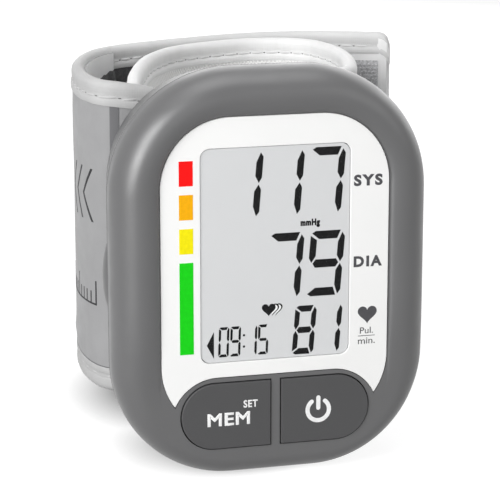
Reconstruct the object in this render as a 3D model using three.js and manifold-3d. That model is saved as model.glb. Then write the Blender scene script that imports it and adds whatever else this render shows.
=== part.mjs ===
// Wrist blood pressure monitor: a case with display and two buttons, the air system inside it,
// and a wrap-round cuff that closes with a hook-and-loop strap.
// Millimetres. +Z is up and the display faces -Y. x = 0 is the middle plane of the case.
// Depths are counted from the front of the face panel towards the rear, heights from the foot.
import * as THREE from "three";
import { mergeVertices } from "three/addons/utils/BufferGeometryUtils.js";
import Module from "manifold-3d";

const wasm = await Module();
wasm.setup();

// Clearances
const SEAT_GAP = 0.3;
const BUTTON_GAP = 0.25;
const DOOR_GAP = 0.3;
const BORE_GAP = 0.15;
const RUNNING_GAP = 0.08;

// How far a cutting form reaches past the face it opens, and a joined form into its base
const CUT_OVER = 1;
const JOIN_OVER = 1;

// Face: window, panel and rim
const WINDOW_WIDTH = 32.7;
const WINDOW_HEIGHT = 46.3;
const WINDOW_CORNER = 2;
const WINDOW_SIDE_MARGIN = 8.65;
const WINDOW_TOP_MARGIN = 6.6;
const WINDOW_BOTTOM_MARGIN = 3.1;
const PANEL_THICKNESS = 1;
const PANEL_CORNER = 15;
const PANEL_HORN_DROP = 11.5;
const RIM_WIDTH = 9.3;
const RIM_CREST = 1.2;
const RIM_CREST_INSET = 6.2;
const RIM_ROUND_DEPTH = 6.5;
const RIM_INNER_CORNER = 15.3;

// Chin: the grey field round the buttons
const CHIN_HEIGHT = 23;
const CHIN_WIDTH = 46.2;
const CHIN_CORNER = 10.3;
const CHIN_RIM = 6.2;
const BUTTON_WIDTH = 19.6;
const BUTTON_HEIGHT = 14.85;
const BUTTON_SPACING = 2.4;
const BUTTON_LEVEL = 14.5;
const BUTTON_CROWN = 0.5;
const BUTTON_FLANGE = 0.8;
const BUTTON_FLANGE_THICKNESS = 0.9;
const BUTTON_TRAVEL = 0.6;

// Case shells
const CASE_WALL = 2;
const CAVITY_CORNER = 1.2;
const TOP_CORNER = 27;
const BOTTOM_CORNER = 25.5;
const PARTING_DEPTH = 9.5;
const PANEL_LEDGE = 1.4;
const FRONT_DRAFT = 0.15;
const FLANK_SLOPE = 0.2;
const REAR_EDGE = 3.6;
const FOOT_WIDTH = 18;
const FOOT_LENGTH = 12;
const FOOT_SETBACK = 0.5;

// Display and board stack
const LENS_FLANGE = 1;
const LENS_FLANGE_THICKNESS = 0.6;
const LCD_BORDER = 1;
const LCD_THICKNESS = 2.8;
const HOLDER_BORDER = 0.8;
const HOLDER_THICKNESS = 2.85;
const HOLDER_RIM = 3;
const STRIP_LENGTH = 28;
const STRIP_WIDTH = 2.2;
const BOARD_SIDE_MARGIN = 6.6;
const BOARD_CORNER = 14;
const BOARD_THICKNESS = 1.6;
const BOARD_EDGE = 8;
const CHIP_SIZE = 10;
const CHIP_HEIGHT = 1.2;
const CHIP_DROP = 5;
const BUZZER_RADIUS = 4.5;
const BUZZER_HEIGHT = 3.2;
const BUZZER_EDGE = 12;
const SWITCH_SIZE = 6;
const SWITCH_BORE_FLOOR = 0.8;
const PLUNGER_RADIUS = 1.6;
const PLUNGER_STANDS_OUT = 0.8;

// Screws
const SCREW_RADIUS = 1.1;
const SCREW_HEAD_RADIUS = 2;
const SCREW_HEAD_HEIGHT = 1.1;
const BOSS_RADIUS = 2.8;
const BOSS_EDGE_GAP = 1.5;
const SCREW_SINK = 3.5;
const SCREW_TIP_COVER = 2;
const BOARD_SCREW_EDGE = 5.2;
const BOARD_SCREW_BELOW_PUMP = 5;
const BOARD_SCREW_LENGTH = 5;
const POST_RADIUS = 2.3;

// Battery bay
const CELL_DIAMETER = 10.5;
const CELL_LENGTH = 44.5;
const CELL_NUB_RADIUS = 1.9;
const CELL_NUB_LENGTH = 1.2;
const CELL_GAP = 0.4;
const BAY_WALL = 1.2;
const CONTACT_THICKNESS = 0.5;
const CONTACT_SIZE = 8;
const DOOR_THICKNESS = 1.5;
const CATCH_LEVEL = 42;
const CATCH_HEIGHT = 20;
const CATCH_WIDTH = 8;
const CATCH_BULGE = 1.9;

// Air system
const MOTOR_RADIUS = 6.2;
const MOTOR_LENGTH = 22;
const PUMP_DROP = 15;
const PUMP_SIDE_GAP = 2.6;
const PUMP_HEAD_LENGTH = 11.7;
const PUMP_CHAMBER_RADIUS = 4.6;
const PUMP_CHAMBER_LENGTH = 7.5;
const SLEEVE_THICKNESS = 0.5;
const SLEEVE_LENGTH = 14;
const SHAFT_RADIUS = 0.75;
const SHAFT_LENGTH = 5;
const SHAFT_GRIP = 3;
const ECCENTRIC_RADIUS = 2.6;
const ECCENTRIC_THROW = 0.7;
const ECCENTRIC_HEIGHT = 2;
const NOZZLE_RADIUS = 1.3;
const NOZZLE_LENGTH = 4;
const NOZZLE_BORE = 0.7;
const TUBE_WALL = 0.75;
const TUBE_RISE = 9;
const AIR_BLOCK = 8.6;
const AIR_LINE = 3;
const MANIFOLD_LENGTH = 22;
const VALVE_LENGTH = 14;
const VALVE_TUBE_LENGTH = 8.6;
const VALVE_PLUNGER_RADIUS = 1.5;
const VALVE_PLUNGER_LENGTH = 10;
const VALVE_BORE_LENGTH = 8.5;
const VALVE_PLUNGER_ENGAGED = 6;
const VALVE_FLOOR_GAP = 1.5;
const SENSOR_SIZE = 7;
const SENSOR_HEIGHT = 2.8;
const SENSOR_NIPPLE = 1.2;
const SENSOR_RISE = 4;
const CUFF_PORT_DROP = 6;

// Cuff layers, counted inwards from the outer face of the inner band
const CUFF_HEIGHT = 70.4;
const CUFF_RISE = 4.05;
const COVER_THICKNESS = 0.9;
const CURLER_THICKNESS = 1;
const BLADDER_THICKNESS = 1;
const LINING_THICKNESS = 0.8;
const CURLER_MARGIN = 8;
const BLADDER_MARGIN = 10;
const BINDING_THICKNESS = 0.5;
const BINDING_HEIGHT = 5.4;
const BINDING_ROUND = 0.7;

// Strap: its edges start lower than the band's where it leaves the case, and climb to the tail
const STRAP_THICKNESS = 2.6;
const STRAP_BINDING_PROUD = 0.4;
const STRAP_ROOT_RISE = -0.9;
const STRAP_TAIL_RISE = 0.6;
const TAIL_CORNER = 3;
const HOOK_THICKNESS = 0.7;
const HOOK_MARGIN = 7;
const HOOK_TIP_MARGIN = 4.2;
const HOOK_LENGTH = 26;

// Outer face of the inner band seen from above, as [x, distance behind its run along the case].
// It goes from the free end on the left round the rear and the right side to the case.
const BAND_END_SIDE = -26.2;
const BAND_END_CLEARANCE = 1.9;
const BAND_ROUTE = [
  [-23.1, 15.1], [-19.3, 26.8], [-15.5, 35.7], [-8.3, 46.4], [-2.2, 51.2], [9, 56.3], [17.1, 57.9],
  [26.4, 55.9], [32, 50.6], [34.4, 41.6], [34.7, 31.7], [33.6, 22.6], [31.3, 13.3], [28.8, 6], [24.6, 1.2],
  [19, 0], [6, 0], [-7, 0],
];
const BAND_RUN_END = -19.7;
// Inner face of the strap, drawn the same way: root along the case, left side, then round to the tail.
const STRAP_ROOT_ROUTE = [[-25.8, 0]];
const SWING_LINE = [-29.3, 1.1];
const SIDE_ROUTE = [[-30.9, 4], [-31.9, 9.8], [-31.8, 16.5], [-30.8, 23.5], [-28.3, 31.3]];
const PEEL_LINE = [-24.5, 38.3];
const TAIL_ROUTE = [
  [-18.7, 44], [-8.1, 49.5], [2.8, 53.8], [13.5, 57], [24, 58], [33.4, 57.1], [42, 53.7], [51.4, 49.7],
];

// Facet counts
const CORNER_STEPS = 8;
const CURVE_STEPS = 4;
const ROUND_STEPS = 20;
const SMALL_STEPS = 12;
const ROUTE_STEPS = 3;
const EDGE_STEPS = 5;
const CREST_STEPS = 2;
const CORNER_MARKS = [0.2, 0.1, 0.03];
const TUBE_SIDES = 8;
const TUBE_STEPS = 14;

// Sizes that follow from the ones above
const caseWidth = WINDOW_WIDTH + 2 * (WINDOW_SIDE_MARGIN + SEAT_GAP + RIM_WIDTH);
const windowBottom = CHIN_HEIGHT + WINDOW_BOTTOM_MARGIN;
const windowTop = windowBottom + WINDOW_HEIGHT;
const panelTop = windowTop + WINDOW_TOP_MARGIN;
const caseHeight = panelTop + SEAT_GAP + RIM_WIDTH;
const panelHalf = WINDOW_WIDTH / 2 + WINDOW_SIDE_MARGIN;
const caseHalf = caseWidth / 2;
const middle = caseHeight / 2;
const panelSeat = PANEL_THICKNESS + SEAT_GAP;
const plateBack = panelSeat + PANEL_LEDGE;
const lensBack = panelSeat + LENS_FLANGE_THICKNESS;
const lcdFront = lensBack + SEAT_GAP;
const lcdBack = lcdFront + LCD_THICKNESS;
const holderFront = lcdBack + SEAT_GAP;
const holderBack = holderFront + HOLDER_THICKNESS;
const boardFront = holderBack + SEAT_GAP;
const boardBack = boardFront + BOARD_THICKNESS;
const pumpOuter = MOTOR_RADIUS + BORE_GAP + SLEEVE_THICKNESS;
const boardHalf = caseHalf - BOARD_SIDE_MARGIN;
const bayStack = SEAT_GAP + SCREW_HEAD_HEIGHT + SEAT_GAP + BAY_WALL + 2 * CELL_GAP + CELL_DIAMETER;
const pumpStack = 2 * SEAT_GAP + 2 * pumpOuter;
const rearInside = boardBack + Math.max(bayStack, pumpStack);
const rearWall = rearInside + CASE_WALL;
const footFront = PARTING_DEPTH + FOOT_SETBACK;
const footCentre = footFront + FOOT_LENGTH / 2;
const frontEnd = PARTING_DEPTH - SEAT_GAP / 2;
const rearStart = PARTING_DEPTH + SEAT_GAP / 2;
const flankEnd = rearWall - REAR_EDGE;
const rearTaper = flankInset(flankEnd);

// Materials
function finish(color, roughness, metalness = 0) {
  return new THREE.MeshStandardMaterial({ color, roughness, metalness });
}
const finishes = {
  caseGrey: () => finish(0x66686b, 0.45),
  keyGrey: () => finish(0x58595b, 0.5),
  panelWhite: () => finish(0xf4f5f4, 0.4),
  clear: () => finish(0xe8eeee, 0.1),
  lcd: () => finish(0xdbdcdd, 0.2),
  darkPlastic: () => finish(0x2b2c2e, 0.5),
  board: () => finish(0x1f6b3a, 0.6),
  steel: () => finish(0xb9bcc0, 0.35, 0.9),
  cell: () => finish(0x2f3d55, 0.4, 0.3),
  rubber: () => finish(0x35363a, 0.8),
  silicone: () => finish(0xd9dcda, 0.5),
  fabric: () => finish(0xd2d3d4, 0.9),
  lining: () => finish(0xe6e6e4, 0.95),
  binding: () => finish(0xcfd0d1, 0.8),
  hook: () => finish(0xc4c5c6, 1),
};

// The assembly; its own frame has the origin at the middle of the foot.
const monitor = new THREE.Group();
const assembly = new THREE.Group();
assembly.position.y = -footCentre;
monitor.add(assembly);

function addPart(name, geometry, material) {
  const mesh = new THREE.Mesh(geometry, material);
  mesh.name = name;
  assembly.add(mesh);
  return mesh;
}

// Joining and cutting
function solidOf(geometry) {
  const bare = geometry.clone();
  bare.deleteAttribute("normal");
  bare.deleteAttribute("uv");
  const merged = mergeVertices(bare, 1e-4);
  const vertProperties = merged.getAttribute("position").array;
  const triVerts = new Uint32Array(merged.index.array);
  return new wasm.Manifold(new wasm.Mesh({ numProp: 3, vertProperties, triVerts }));
}

function geometryOf(solid) {
  const mesh = solid.getMesh();
  const geometry = new THREE.BufferGeometry();
  geometry.setAttribute("position", new THREE.BufferAttribute(mesh.vertProperties, 3));
  geometry.setIndex(new THREE.BufferAttribute(mesh.triVerts, 1));
  geometry.computeVertexNormals();
  return geometry;
}

function cut(base, ...tools) {
  return geometryOf(tools.reduce((solid, tool) => solid.subtract(solidOf(tool)), solidOf(base)));
}

function join(base, ...others) {
  return geometryOf(others.reduce((solid, other) => solid.add(solidOf(other)), solidOf(base)));
}

function common(first, second) {
  return geometryOf(solidOf(first).intersect(solidOf(second)));
}

// Basic forms
function block(left, right, front, back, low, high) {
  const geometry = new THREE.BoxGeometry(right - left, back - front, high - low);
  geometry.translate((left + right) / 2, (front + back) / 2, (low + high) / 2);
  return geometry;
}

function pegInDepth(radius, x, height, front, back, steps = SMALL_STEPS) {
  const geometry = new THREE.CylinderGeometry(radius, radius, back - front, steps);
  geometry.translate(x, (front + back) / 2, height);
  return geometry;
}

function pegUpright(radius, x, depth, low, high, steps = SMALL_STEPS) {
  const geometry = new THREE.CylinderGeometry(radius, radius, high - low, steps);
  geometry.rotateX(Math.PI / 2);
  geometry.translate(x, depth, (low + high) / 2);
  return geometry;
}

// A flat shape drawn in x and height, with thickness from one depth to another.
function plate(shape, front, back) {
  const options = { depth: back - front, bevelEnabled: false, curveSegments: CURVE_STEPS };
  const geometry = new THREE.ExtrudeGeometry(shape, options);
  geometry.rotateX(Math.PI / 2);
  geometry.translate(0, back, 0);
  return geometry;
}

function roundedRectangle(half, low, high, lowRadius, highRadius) {
  const shape = new THREE.Shape();
  shape.absarc(half - highRadius, high - highRadius, highRadius, 0, Math.PI / 2);
  shape.absarc(-half + highRadius, high - highRadius, highRadius, Math.PI / 2, Math.PI);
  shape.absarc(-half + lowRadius, low + lowRadius, lowRadius, Math.PI, 1.5 * Math.PI);
  shape.absarc(half - lowRadius, low + lowRadius, lowRadius, 1.5 * Math.PI, 2 * Math.PI);
  shape.closePath();
  return shape;
}

// Skins a row of rings that all have the same number of points, and closes both ends.
// The contour is any flat drawing of one ring; it decides how the end faces are filled.
function skin(rings, contour) {
  if (THREE.ShapeUtils.isClockWise(contour)) {
    return skin(rings.map((ring) => [...ring].reverse()), [...contour].reverse());
  }
  const count = contour.length;
  const positions = rings.flat().flatMap((point) => [point.x, point.y, point.z]);
  const faces = [];
  for (let r = 0; r + 1 < rings.length; r++) {
    for (let i = 0; i < count; i++) {
      const next = (i + 1) % count;
      const a = r * count + i;
      const b = r * count + next;
      faces.push([a, b, b + count], [a, b + count, a + count]);
    }
  }
  const last = (rings.length - 1) * count;
  for (const [a, b, c] of THREE.ShapeUtils.triangulateShape(contour, [])) {
    faces.push([c, b, a], [last + a, last + b, last + c]);
  }
  const corner = (i) => new THREE.Vector3().fromArray(positions, 3 * i);
  const volume = faces.reduce((sum, [a, b, c]) => sum + corner(a).dot(corner(b).cross(corner(c))), 0);
  const outward = volume < 0 ? faces.map(([a, b, c]) => [a, c, b]) : faces;
  const geometry = new THREE.BufferGeometry();
  geometry.setAttribute("position", new THREE.Float32BufferAttribute(positions, 3));
  geometry.setIndex(outward.flat());
  geometry.computeVertexNormals();
  return geometry;
}

// Case outline, its sides and top moved in by one inset and its bottom by another.
function caseOutline(inset, bottomInset, topRadius, bottomRadius) {
  const half = caseHalf - inset;
  const corners = [
    [half - topRadius, caseHeight - inset - topRadius, topRadius],
    [-half + topRadius, caseHeight - inset - topRadius, topRadius],
    [-half + bottomRadius, bottomInset + bottomRadius, bottomRadius],
    [half - bottomRadius, bottomInset + bottomRadius, bottomRadius],
  ];
  return corners.flatMap(([x, height, radius], quarter) =>
    Array.from({ length: CORNER_STEPS + 1 }, (_, step) => {
      const angle = (quarter + step / CORNER_STEPS) * (Math.PI / 2);
      return new THREE.Vector2(x + radius * Math.cos(angle), height + radius * Math.sin(angle));
    }),
  );
}

function atDepth(outline, depth) {
  return outline.map((point) => new THREE.Vector3(point.x, depth, point.y));
}

// Outline that goes from the outer edge of the case, at share 0, to the inner edge of its rim, at 1.
function rimOutline(share) {
  const topRadius = THREE.MathUtils.lerp(TOP_CORNER, RIM_INNER_CORNER, share);
  const bottomRadius = THREE.MathUtils.lerp(BOTTOM_CORNER, RIM_INNER_CORNER, share);
  return caseOutline(RIM_WIDTH * share, CHIN_RIM * share, topRadius, bottomRadius);
}

function evenOutline(inset) {
  return caseOutline(inset, inset, TOP_CORNER - inset, BOTTOM_CORNER - inset);
}

// The rear flanks draw in evenly from the parting line to the rear edge.
function flankInset(depth) {
  return FRONT_DRAFT + FLANK_SLOPE * (depth - rearStart);
}

// Battery bay: two cells side by side behind the left flank, standing upright
const cellDepth = rearInside - CELL_GAP - CELL_DIAMETER / 2;
const bayFront = cellDepth - CELL_DIAMETER / 2 - CELL_GAP;
const doorInside = -caseHalf + rearTaper + DOOR_THICKNESS;
const outerCell = doorInside + CELL_GAP + CELL_DIAMETER / 2;
const cellSides = [outerCell, outerCell + CELL_DIAMETER + CELL_GAP];
const bayRight = cellSides[1] + CELL_DIAMETER / 2 + CELL_GAP;
const bayInside = CELL_LENGTH + 2 * (CONTACT_THICKNESS + 2 * SEAT_GAP);
const bayLow = middle - bayInside / 2;
const bayHigh = middle + bayInside / 2;

// Pump behind the right flank, air line between it and the bay
const pumpDepth = rearInside - SEAT_GAP - pumpOuter;
const pumpLow = middle - PUMP_DROP;
const pumpSide = caseHalf - CASE_WALL - rearTaper - PUMP_SIDE_GAP - pumpOuter;
const airDepth = rearInside - SEAT_GAP - AIR_BLOCK / 2;
const airFront = airDepth - AIR_BLOCK / 2;
// The release valve stands over the floor of the case, with the manifold above it
const plungerTip = CASE_WALL + rearTaper + VALVE_FLOOR_GAP;
const plungerInside = plungerTip + VALVE_PLUNGER_LENGTH;
const valveLow = plungerInside - VALVE_PLUNGER_ENGAGED;
const valveTop = valveLow + VALVE_LENGTH;
const valveTubeTop = valveTop + SEAT_GAP + VALVE_TUBE_LENGTH;
const manifoldLow = valveTubeTop + SEAT_GAP;
const manifoldTop = manifoldLow + MANIFOLD_LENGTH;
const manifoldMiddle = (manifoldLow + manifoldTop) / 2;
const portHeight = manifoldMiddle - CUFF_PORT_DROP;
const nippleHole = NOZZLE_RADIUS + BORE_GAP;

// Cuff screws on both sides of the air line
const cuffScrews = [
  [(bayRight + BAY_WALL + AIR_LINE - AIR_BLOCK / 2) / 2, middle],
  [(AIR_LINE + AIR_BLOCK / 2 + pumpSide - pumpOuter) / 2, middle],
];

// Case screws: beside the battery bay's ends, as far out as the case corners let a boss go
const bossReach = CASE_WALL + BOSS_RADIUS + BOSS_EDGE_GAP;
const screwLow = bayLow - BAY_WALL - 2 * SEAT_GAP - BOSS_RADIUS;
const screwHigh = bayHigh + BAY_WALL + 2 * SEAT_GAP + BOSS_RADIUS;

function cornerReach(radius, offset) {
  return caseHalf - radius + Math.sqrt((radius - bossReach) ** 2 - offset ** 2);
}
const lowSide = cornerReach(BOTTOM_CORNER, BOTTOM_CORNER - screwLow);
const highSide = cornerReach(TOP_CORNER, Math.max(0, screwHigh - (caseHeight - TOP_CORNER)));
const caseScrews = [
  [-lowSide, screwLow], [lowSide, screwLow], [-highSide, screwHigh], [highSide, screwHigh],
];
const screwSeat = rearInside - SCREW_SINK;
const screwTip = plateBack + SCREW_TIP_COVER;
const boardScrewLevel = pumpLow - BOARD_SCREW_BELOW_PUMP;
const boardScrewSide = boardHalf - BOARD_SCREW_EDGE;
const boardScrews = [[-boardScrewSide, boardScrewLevel], [boardScrewSide, boardScrewLevel]];

// Button outline: square at the middle of the chin, round at its outer end.
function buttonShape(side, grow) {
  const inner = BUTTON_SPACING / 2 - grow;
  const radius = BUTTON_HEIGHT / 2 + grow;
  const centre = BUTTON_SPACING / 2 + BUTTON_WIDTH - BUTTON_HEIGHT / 2;
  const shape = new THREE.Shape();
  shape.moveTo(inner, BUTTON_LEVEL - radius);
  shape.lineTo(centre, BUTTON_LEVEL - radius);
  shape.absarc(centre, BUTTON_LEVEL, radius, -Math.PI / 2, Math.PI / 2);
  shape.lineTo(inner, BUTTON_LEVEL + radius);
  shape.closePath();
  if (side > 0) return shape;
  const mirrored = shape.extractPoints(CURVE_STEPS).shape;
  return new THREE.Shape(mirrored.map((point) => new THREE.Vector2(-point.x, point.y)).reverse());
}

// Panel outline as a plate: a rounded field with the chin's pill taken out of its lower end.
function panelField(grow, front, back) {
  const half = panelHalf + grow;
  const corner = PANEL_CORNER + grow;
  const field = roundedRectangle(half, PANEL_HORN_DROP - grow, panelTop + grow, corner, corner);
  const pillCorner = CHIN_CORNER - grow;
  const pillHalf = CHIN_WIDTH / 2 - grow;
  const pill = roundedRectangle(pillHalf, -CHIN_CORNER, CHIN_HEIGHT - grow, pillCorner, pillCorner);
  return cut(plate(field, front, back), plate(pill, front - CUT_OVER, back + CUT_OVER));
}

function windowShape(grow) {
  const corner = WINDOW_CORNER;
  return roundedRectangle(WINDOW_WIDTH / 2 + grow, windowBottom - grow, windowTop + grow, corner, corner);
}

// Front case
function frontCase() {
  const rings = [
    atDepth(evenOutline(FRONT_DRAFT), frontEnd),
    atDepth(rimOutline(0), RIM_ROUND_DEPTH),
  ];
  const crestShare = RIM_CREST_INSET / RIM_WIDTH;
  for (let step = 1; step <= EDGE_STEPS; step++) {
    const angle = (step / EDGE_STEPS) * (Math.PI / 2);
    const share = crestShare * (1 - Math.cos(angle));
    const depth = RIM_ROUND_DEPTH - (RIM_ROUND_DEPTH + RIM_CREST) * Math.sin(angle);
    rings.push(atDepth(rimOutline(share), depth));
  }
  for (let step = 1; step <= CREST_STEPS; step++) {
    const angle = (step / CREST_STEPS) * (Math.PI / 2);
    const share = THREE.MathUtils.lerp(crestShare, 1, Math.sin(angle));
    rings.push(atDepth(rimOutline(share), -RIM_CREST * Math.cos(angle)));
  }
  const body = skin(rings, rimOutline(0));
  const cavity = skin(
    [
      atDepth(evenOutline(CASE_WALL), frontEnd + CUT_OVER),
      atDepth(evenOutline(CASE_WALL), RIM_ROUND_DEPTH),
      atDepth(evenOutline(CASE_WALL + CAVITY_CORNER), plateBack),
    ],
    evenOutline(CASE_WALL),
  );
  const shell = cut(
    body,
    cavity,
    panelField(SEAT_GAP, -RIM_CREST - CUT_OVER, panelSeat),
    plate(windowShape(LENS_FLANGE + SEAT_GAP), 0, plateBack + CUT_OVER),
    plate(buttonShape(-1, BUTTON_GAP), -RIM_CREST - CUT_OVER, plateBack + CUT_OVER),
    plate(buttonShape(1, BUTTON_GAP), -RIM_CREST - CUT_OVER, plateBack + CUT_OVER),
  );
  const root = plateBack - PANEL_LEDGE / 2;
  const bosses = caseScrews.map(([x, height]) => pegInDepth(BOSS_RADIUS, x, height, root, frontEnd));
  const posts = boardScrews.map(([x, height]) =>
    pegInDepth(POST_RADIUS, x, height, root, boardFront - SEAT_GAP),
  );
  const pilots = caseScrews.map(([x, height]) =>
    pegInDepth(SCREW_RADIUS + BORE_GAP, x, height, screwTip - SEAT_GAP, frontEnd + CUT_OVER),
  );
  const boardPilots = boardScrews.map(([x, height]) =>
    pegInDepth(SCREW_RADIUS + BORE_GAP, x, height, plateBack, boardFront),
  );
  return cut(join(shell, ...bosses, ...posts), ...pilots, ...boardPilots);
}
addPart("front_case", frontCase(), finishes.caseGrey());

// Rear case: outside form, also used for the battery door that closes its left flank
function rearOutside() {
  const rings = [rearStart, flankEnd].map((depth) => atDepth(evenOutline(flankInset(depth)), depth));
  for (let step = 1; step <= EDGE_STEPS; step++) {
    const angle = (step / EDGE_STEPS) * (Math.PI / 2);
    const inset = rearTaper + REAR_EDGE * (1 - Math.cos(angle));
    rings.push(atDepth(evenOutline(inset), flankEnd + REAR_EDGE * Math.sin(angle)));
  }
  return skin(rings, evenOutline(0));
}

function rearCavity() {
  const slope = CASE_WALL + rearTaper;
  return skin(
    [
      atDepth(evenOutline(CASE_WALL), rearStart - CUT_OVER),
      atDepth(evenOutline(CASE_WALL), rearStart),
      atDepth(evenOutline(slope), flankEnd),
      atDepth(evenOutline(slope + CAVITY_CORNER), rearInside),
    ],
    evenOutline(CASE_WALL),
  );
}

function rearCase() {
  const outside = rearOutside();
  const footHalf = FOOT_WIDTH / 2;
  const footBack = footFront + FOOT_LENGTH;
  const foot = block(-footHalf, footHalf, footFront, footBack, 0, CASE_WALL + rearTaper);
  const shell = cut(outside, rearCavity());
  const bosses = caseScrews.map(([x, height]) =>
    pegInDepth(BOSS_RADIUS, x, height, rearStart, rearInside + CASE_WALL / 2),
  );
  const bay = cut(
    block(doorInside - CASE_WALL, bayRight + BAY_WALL, bayFront - BAY_WALL, rearInside + CASE_WALL / 2,
      bayLow - BAY_WALL, bayHigh + BAY_WALL),
    block(doorInside - 2 * CASE_WALL, bayRight, bayFront, rearInside, bayLow, bayHigh),
  );
  const filled = join(shell, foot, ...bosses, common(bay, outside));
  const headHoles = caseScrews.map(([x, height]) =>
    pegInDepth(SCREW_HEAD_RADIUS + BORE_GAP, x, height, screwSeat, rearWall + CUT_OVER),
  );
  const shankHoles = caseScrews.map(([x, height]) =>
    pegInDepth(SCREW_RADIUS + BORE_GAP, x, height, rearStart - CUT_OVER, screwSeat + CUT_OVER),
  );
  const cuffHoles = cuffScrews.map(([x, height]) =>
    pegInDepth(SCREW_RADIUS + BORE_GAP, x, height, rearInside - CUT_OVER, rearWall + CUT_OVER),
  );
  return cut(
    filled,
    ...headHoles,
    ...shankHoles,
    ...cuffHoles,
    pegInDepth(nippleHole, AIR_LINE, portHeight, rearInside - CUT_OVER, rearWall + CUT_OVER),
    block(-caseHalf - CUT_OVER, doorInside, bayFront, rearInside, bayLow, bayHigh),
  );
}
addPart("rear_case", rearCase(), finishes.caseGrey());

// Battery door: follows the flank, with a thumb catch that bulges out of it
function batteryDoor() {
  const flank = doorInside - DOOR_THICKNESS;
  const farLeft = -caseHalf - 2 * CATCH_BULGE;
  const front = bayFront + DOOR_GAP;
  const back = rearInside - DOOR_GAP;
  const opening = block(farLeft, doorInside, front, back, bayLow + DOOR_GAP, bayHigh - DOOR_GAP);
  const bulge = new THREE.SphereGeometry(1, ROUND_STEPS, SMALL_STEPS);
  bulge.scale(CATCH_BULGE + DOOR_THICKNESS, CATCH_WIDTH / 2, CATCH_HEIGHT / 2);
  bulge.translate(flank + DOOR_THICKNESS, (front + back) / 2, CATCH_LEVEL);
  return join(common(rearOutside(), opening), common(bulge, opening));
}
addPart("battery_door", batteryDoor(), finishes.caseGrey());

cellSides.forEach((x, index) => {
  const low = -CELL_LENGTH / 2;
  const shoulder = CELL_LENGTH / 2 - CELL_NUB_LENGTH;
  const can = pegUpright(CELL_DIAMETER / 2, 0, 0, low, shoulder, ROUND_STEPS);
  const nub = pegUpright(CELL_NUB_RADIUS, 0, 0, shoulder - JOIN_OVER, CELL_LENGTH / 2);
  const cell = addPart(`battery_${index + 1}`, join(can, nub), finishes.cell());
  cell.position.set(x, cellDepth, middle);
  cell.rotation.x = index * Math.PI;
});

// Contacts: one link across the lower ends, one plate at each upper end
function contact(name, left, right, low) {
  const half = CONTACT_SIZE / 2;
  addPart(
    name,
    block(left - half, right + half, cellDepth - half, cellDepth + half, low, low + CONTACT_THICKNESS),
    finishes.steel(),
  );
}
contact("battery_link", cellSides[0], cellSides[1], bayLow + SEAT_GAP);
contact("battery_contact_positive", cellSides[0], cellSides[0], bayHigh - SEAT_GAP - CONTACT_THICKNESS);
contact("battery_contact_negative", cellSides[1], cellSides[1], bayHigh - SEAT_GAP - CONTACT_THICKNESS);

// Face panel and display
addPart(
  "face_panel",
  cut(panelField(0, 0, PANEL_THICKNESS), plate(windowShape(BORE_GAP), -CUT_OVER, PANEL_THICKNESS + CUT_OVER)),
  finishes.panelWhite(),
);
addPart(
  "display_window",
  join(
    plate(windowShape(0), 0, panelSeat + LENS_FLANGE_THICKNESS / 2),
    plate(windowShape(LENS_FLANGE), panelSeat, lensBack),
  ),
  finishes.clear(),
);
addPart("lcd_glass", plate(windowShape(LCD_BORDER), lcdFront, lcdBack), finishes.lcd());

const stripHeight = windowBottom + STRIP_WIDTH;
function stripBlock(grow, front, back) {
  const half = STRIP_LENGTH / 2 + grow;
  const low = stripHeight - STRIP_WIDTH / 2 - grow;
  return block(-half, half, front, back, low, low + STRIP_WIDTH + 2 * grow);
}
addPart(
  "lcd_holder",
  cut(
    plate(windowShape(LCD_BORDER + HOLDER_BORDER), holderFront, holderBack),
    plate(windowShape(-HOLDER_RIM), holderFront + HOLDER_THICKNESS / 2, holderBack + CUT_OVER),
    stripBlock(BORE_GAP, holderFront - CUT_OVER, holderBack + CUT_OVER),
  ),
  finishes.darkPlastic(),
);
const connectorFront = lcdBack + SEAT_GAP / 2;
const connectorBack = boardFront - SEAT_GAP / 2;
addPart("display_connector", stripBlock(0, connectorFront, connectorBack), finishes.rubber());

// Main board with its chip and buzzer
function mainBoard() {
  const high = caseHeight - BOARD_EDGE;
  const outline = roundedRectangle(boardHalf, BOARD_EDGE, high, BOARD_CORNER, BOARD_CORNER);
  const notches = caseScrews.map(([x, height]) =>
    pegInDepth(BOSS_RADIUS + 2 * SEAT_GAP, x, height, boardFront - CUT_OVER, boardBack + CUT_OVER),
  );
  const holes = boardScrews.map(([x, height]) =>
    pegInDepth(SCREW_RADIUS + BORE_GAP, x, height, boardFront - CUT_OVER, boardBack + CUT_OVER),
  );
  return cut(plate(outline, boardFront, boardBack), ...notches, ...holes);
}
addPart("main_board", mainBoard(), finishes.board());

const chipFront = boardBack + SEAT_GAP;
addPart(
  "controller_chip",
  block(AIR_LINE - CHIP_SIZE / 2, AIR_LINE + CHIP_SIZE / 2, chipFront, chipFront + CHIP_HEIGHT,
    middle - CHIP_DROP - CHIP_SIZE, middle - CHIP_DROP),
  finishes.darkPlastic(),
);
addPart(
  "buzzer",
  pegInDepth(BUZZER_RADIUS, boardHalf - BUZZER_EDGE, screwLow, chipFront, chipFront + BUZZER_HEIGHT,
    ROUND_STEPS),
  finishes.darkPlastic(),
);

// Buttons with the tact switches behind them
const flangeFront = plateBack + SEAT_GAP;
const flangeBack = flangeFront + BUTTON_FLANGE_THICKNESS;
const plungerTop = flangeBack + SEAT_GAP;
const switchTop = plungerTop + PLUNGER_STANDS_OUT;
const switchBase = boardFront - SEAT_GAP;
const plungerEnd = switchBase - SWITCH_BORE_FLOOR - SEAT_GAP - BUTTON_TRAVEL;
const buttonCentre = (BUTTON_SPACING + BUTTON_WIDTH) / 2;

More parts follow.
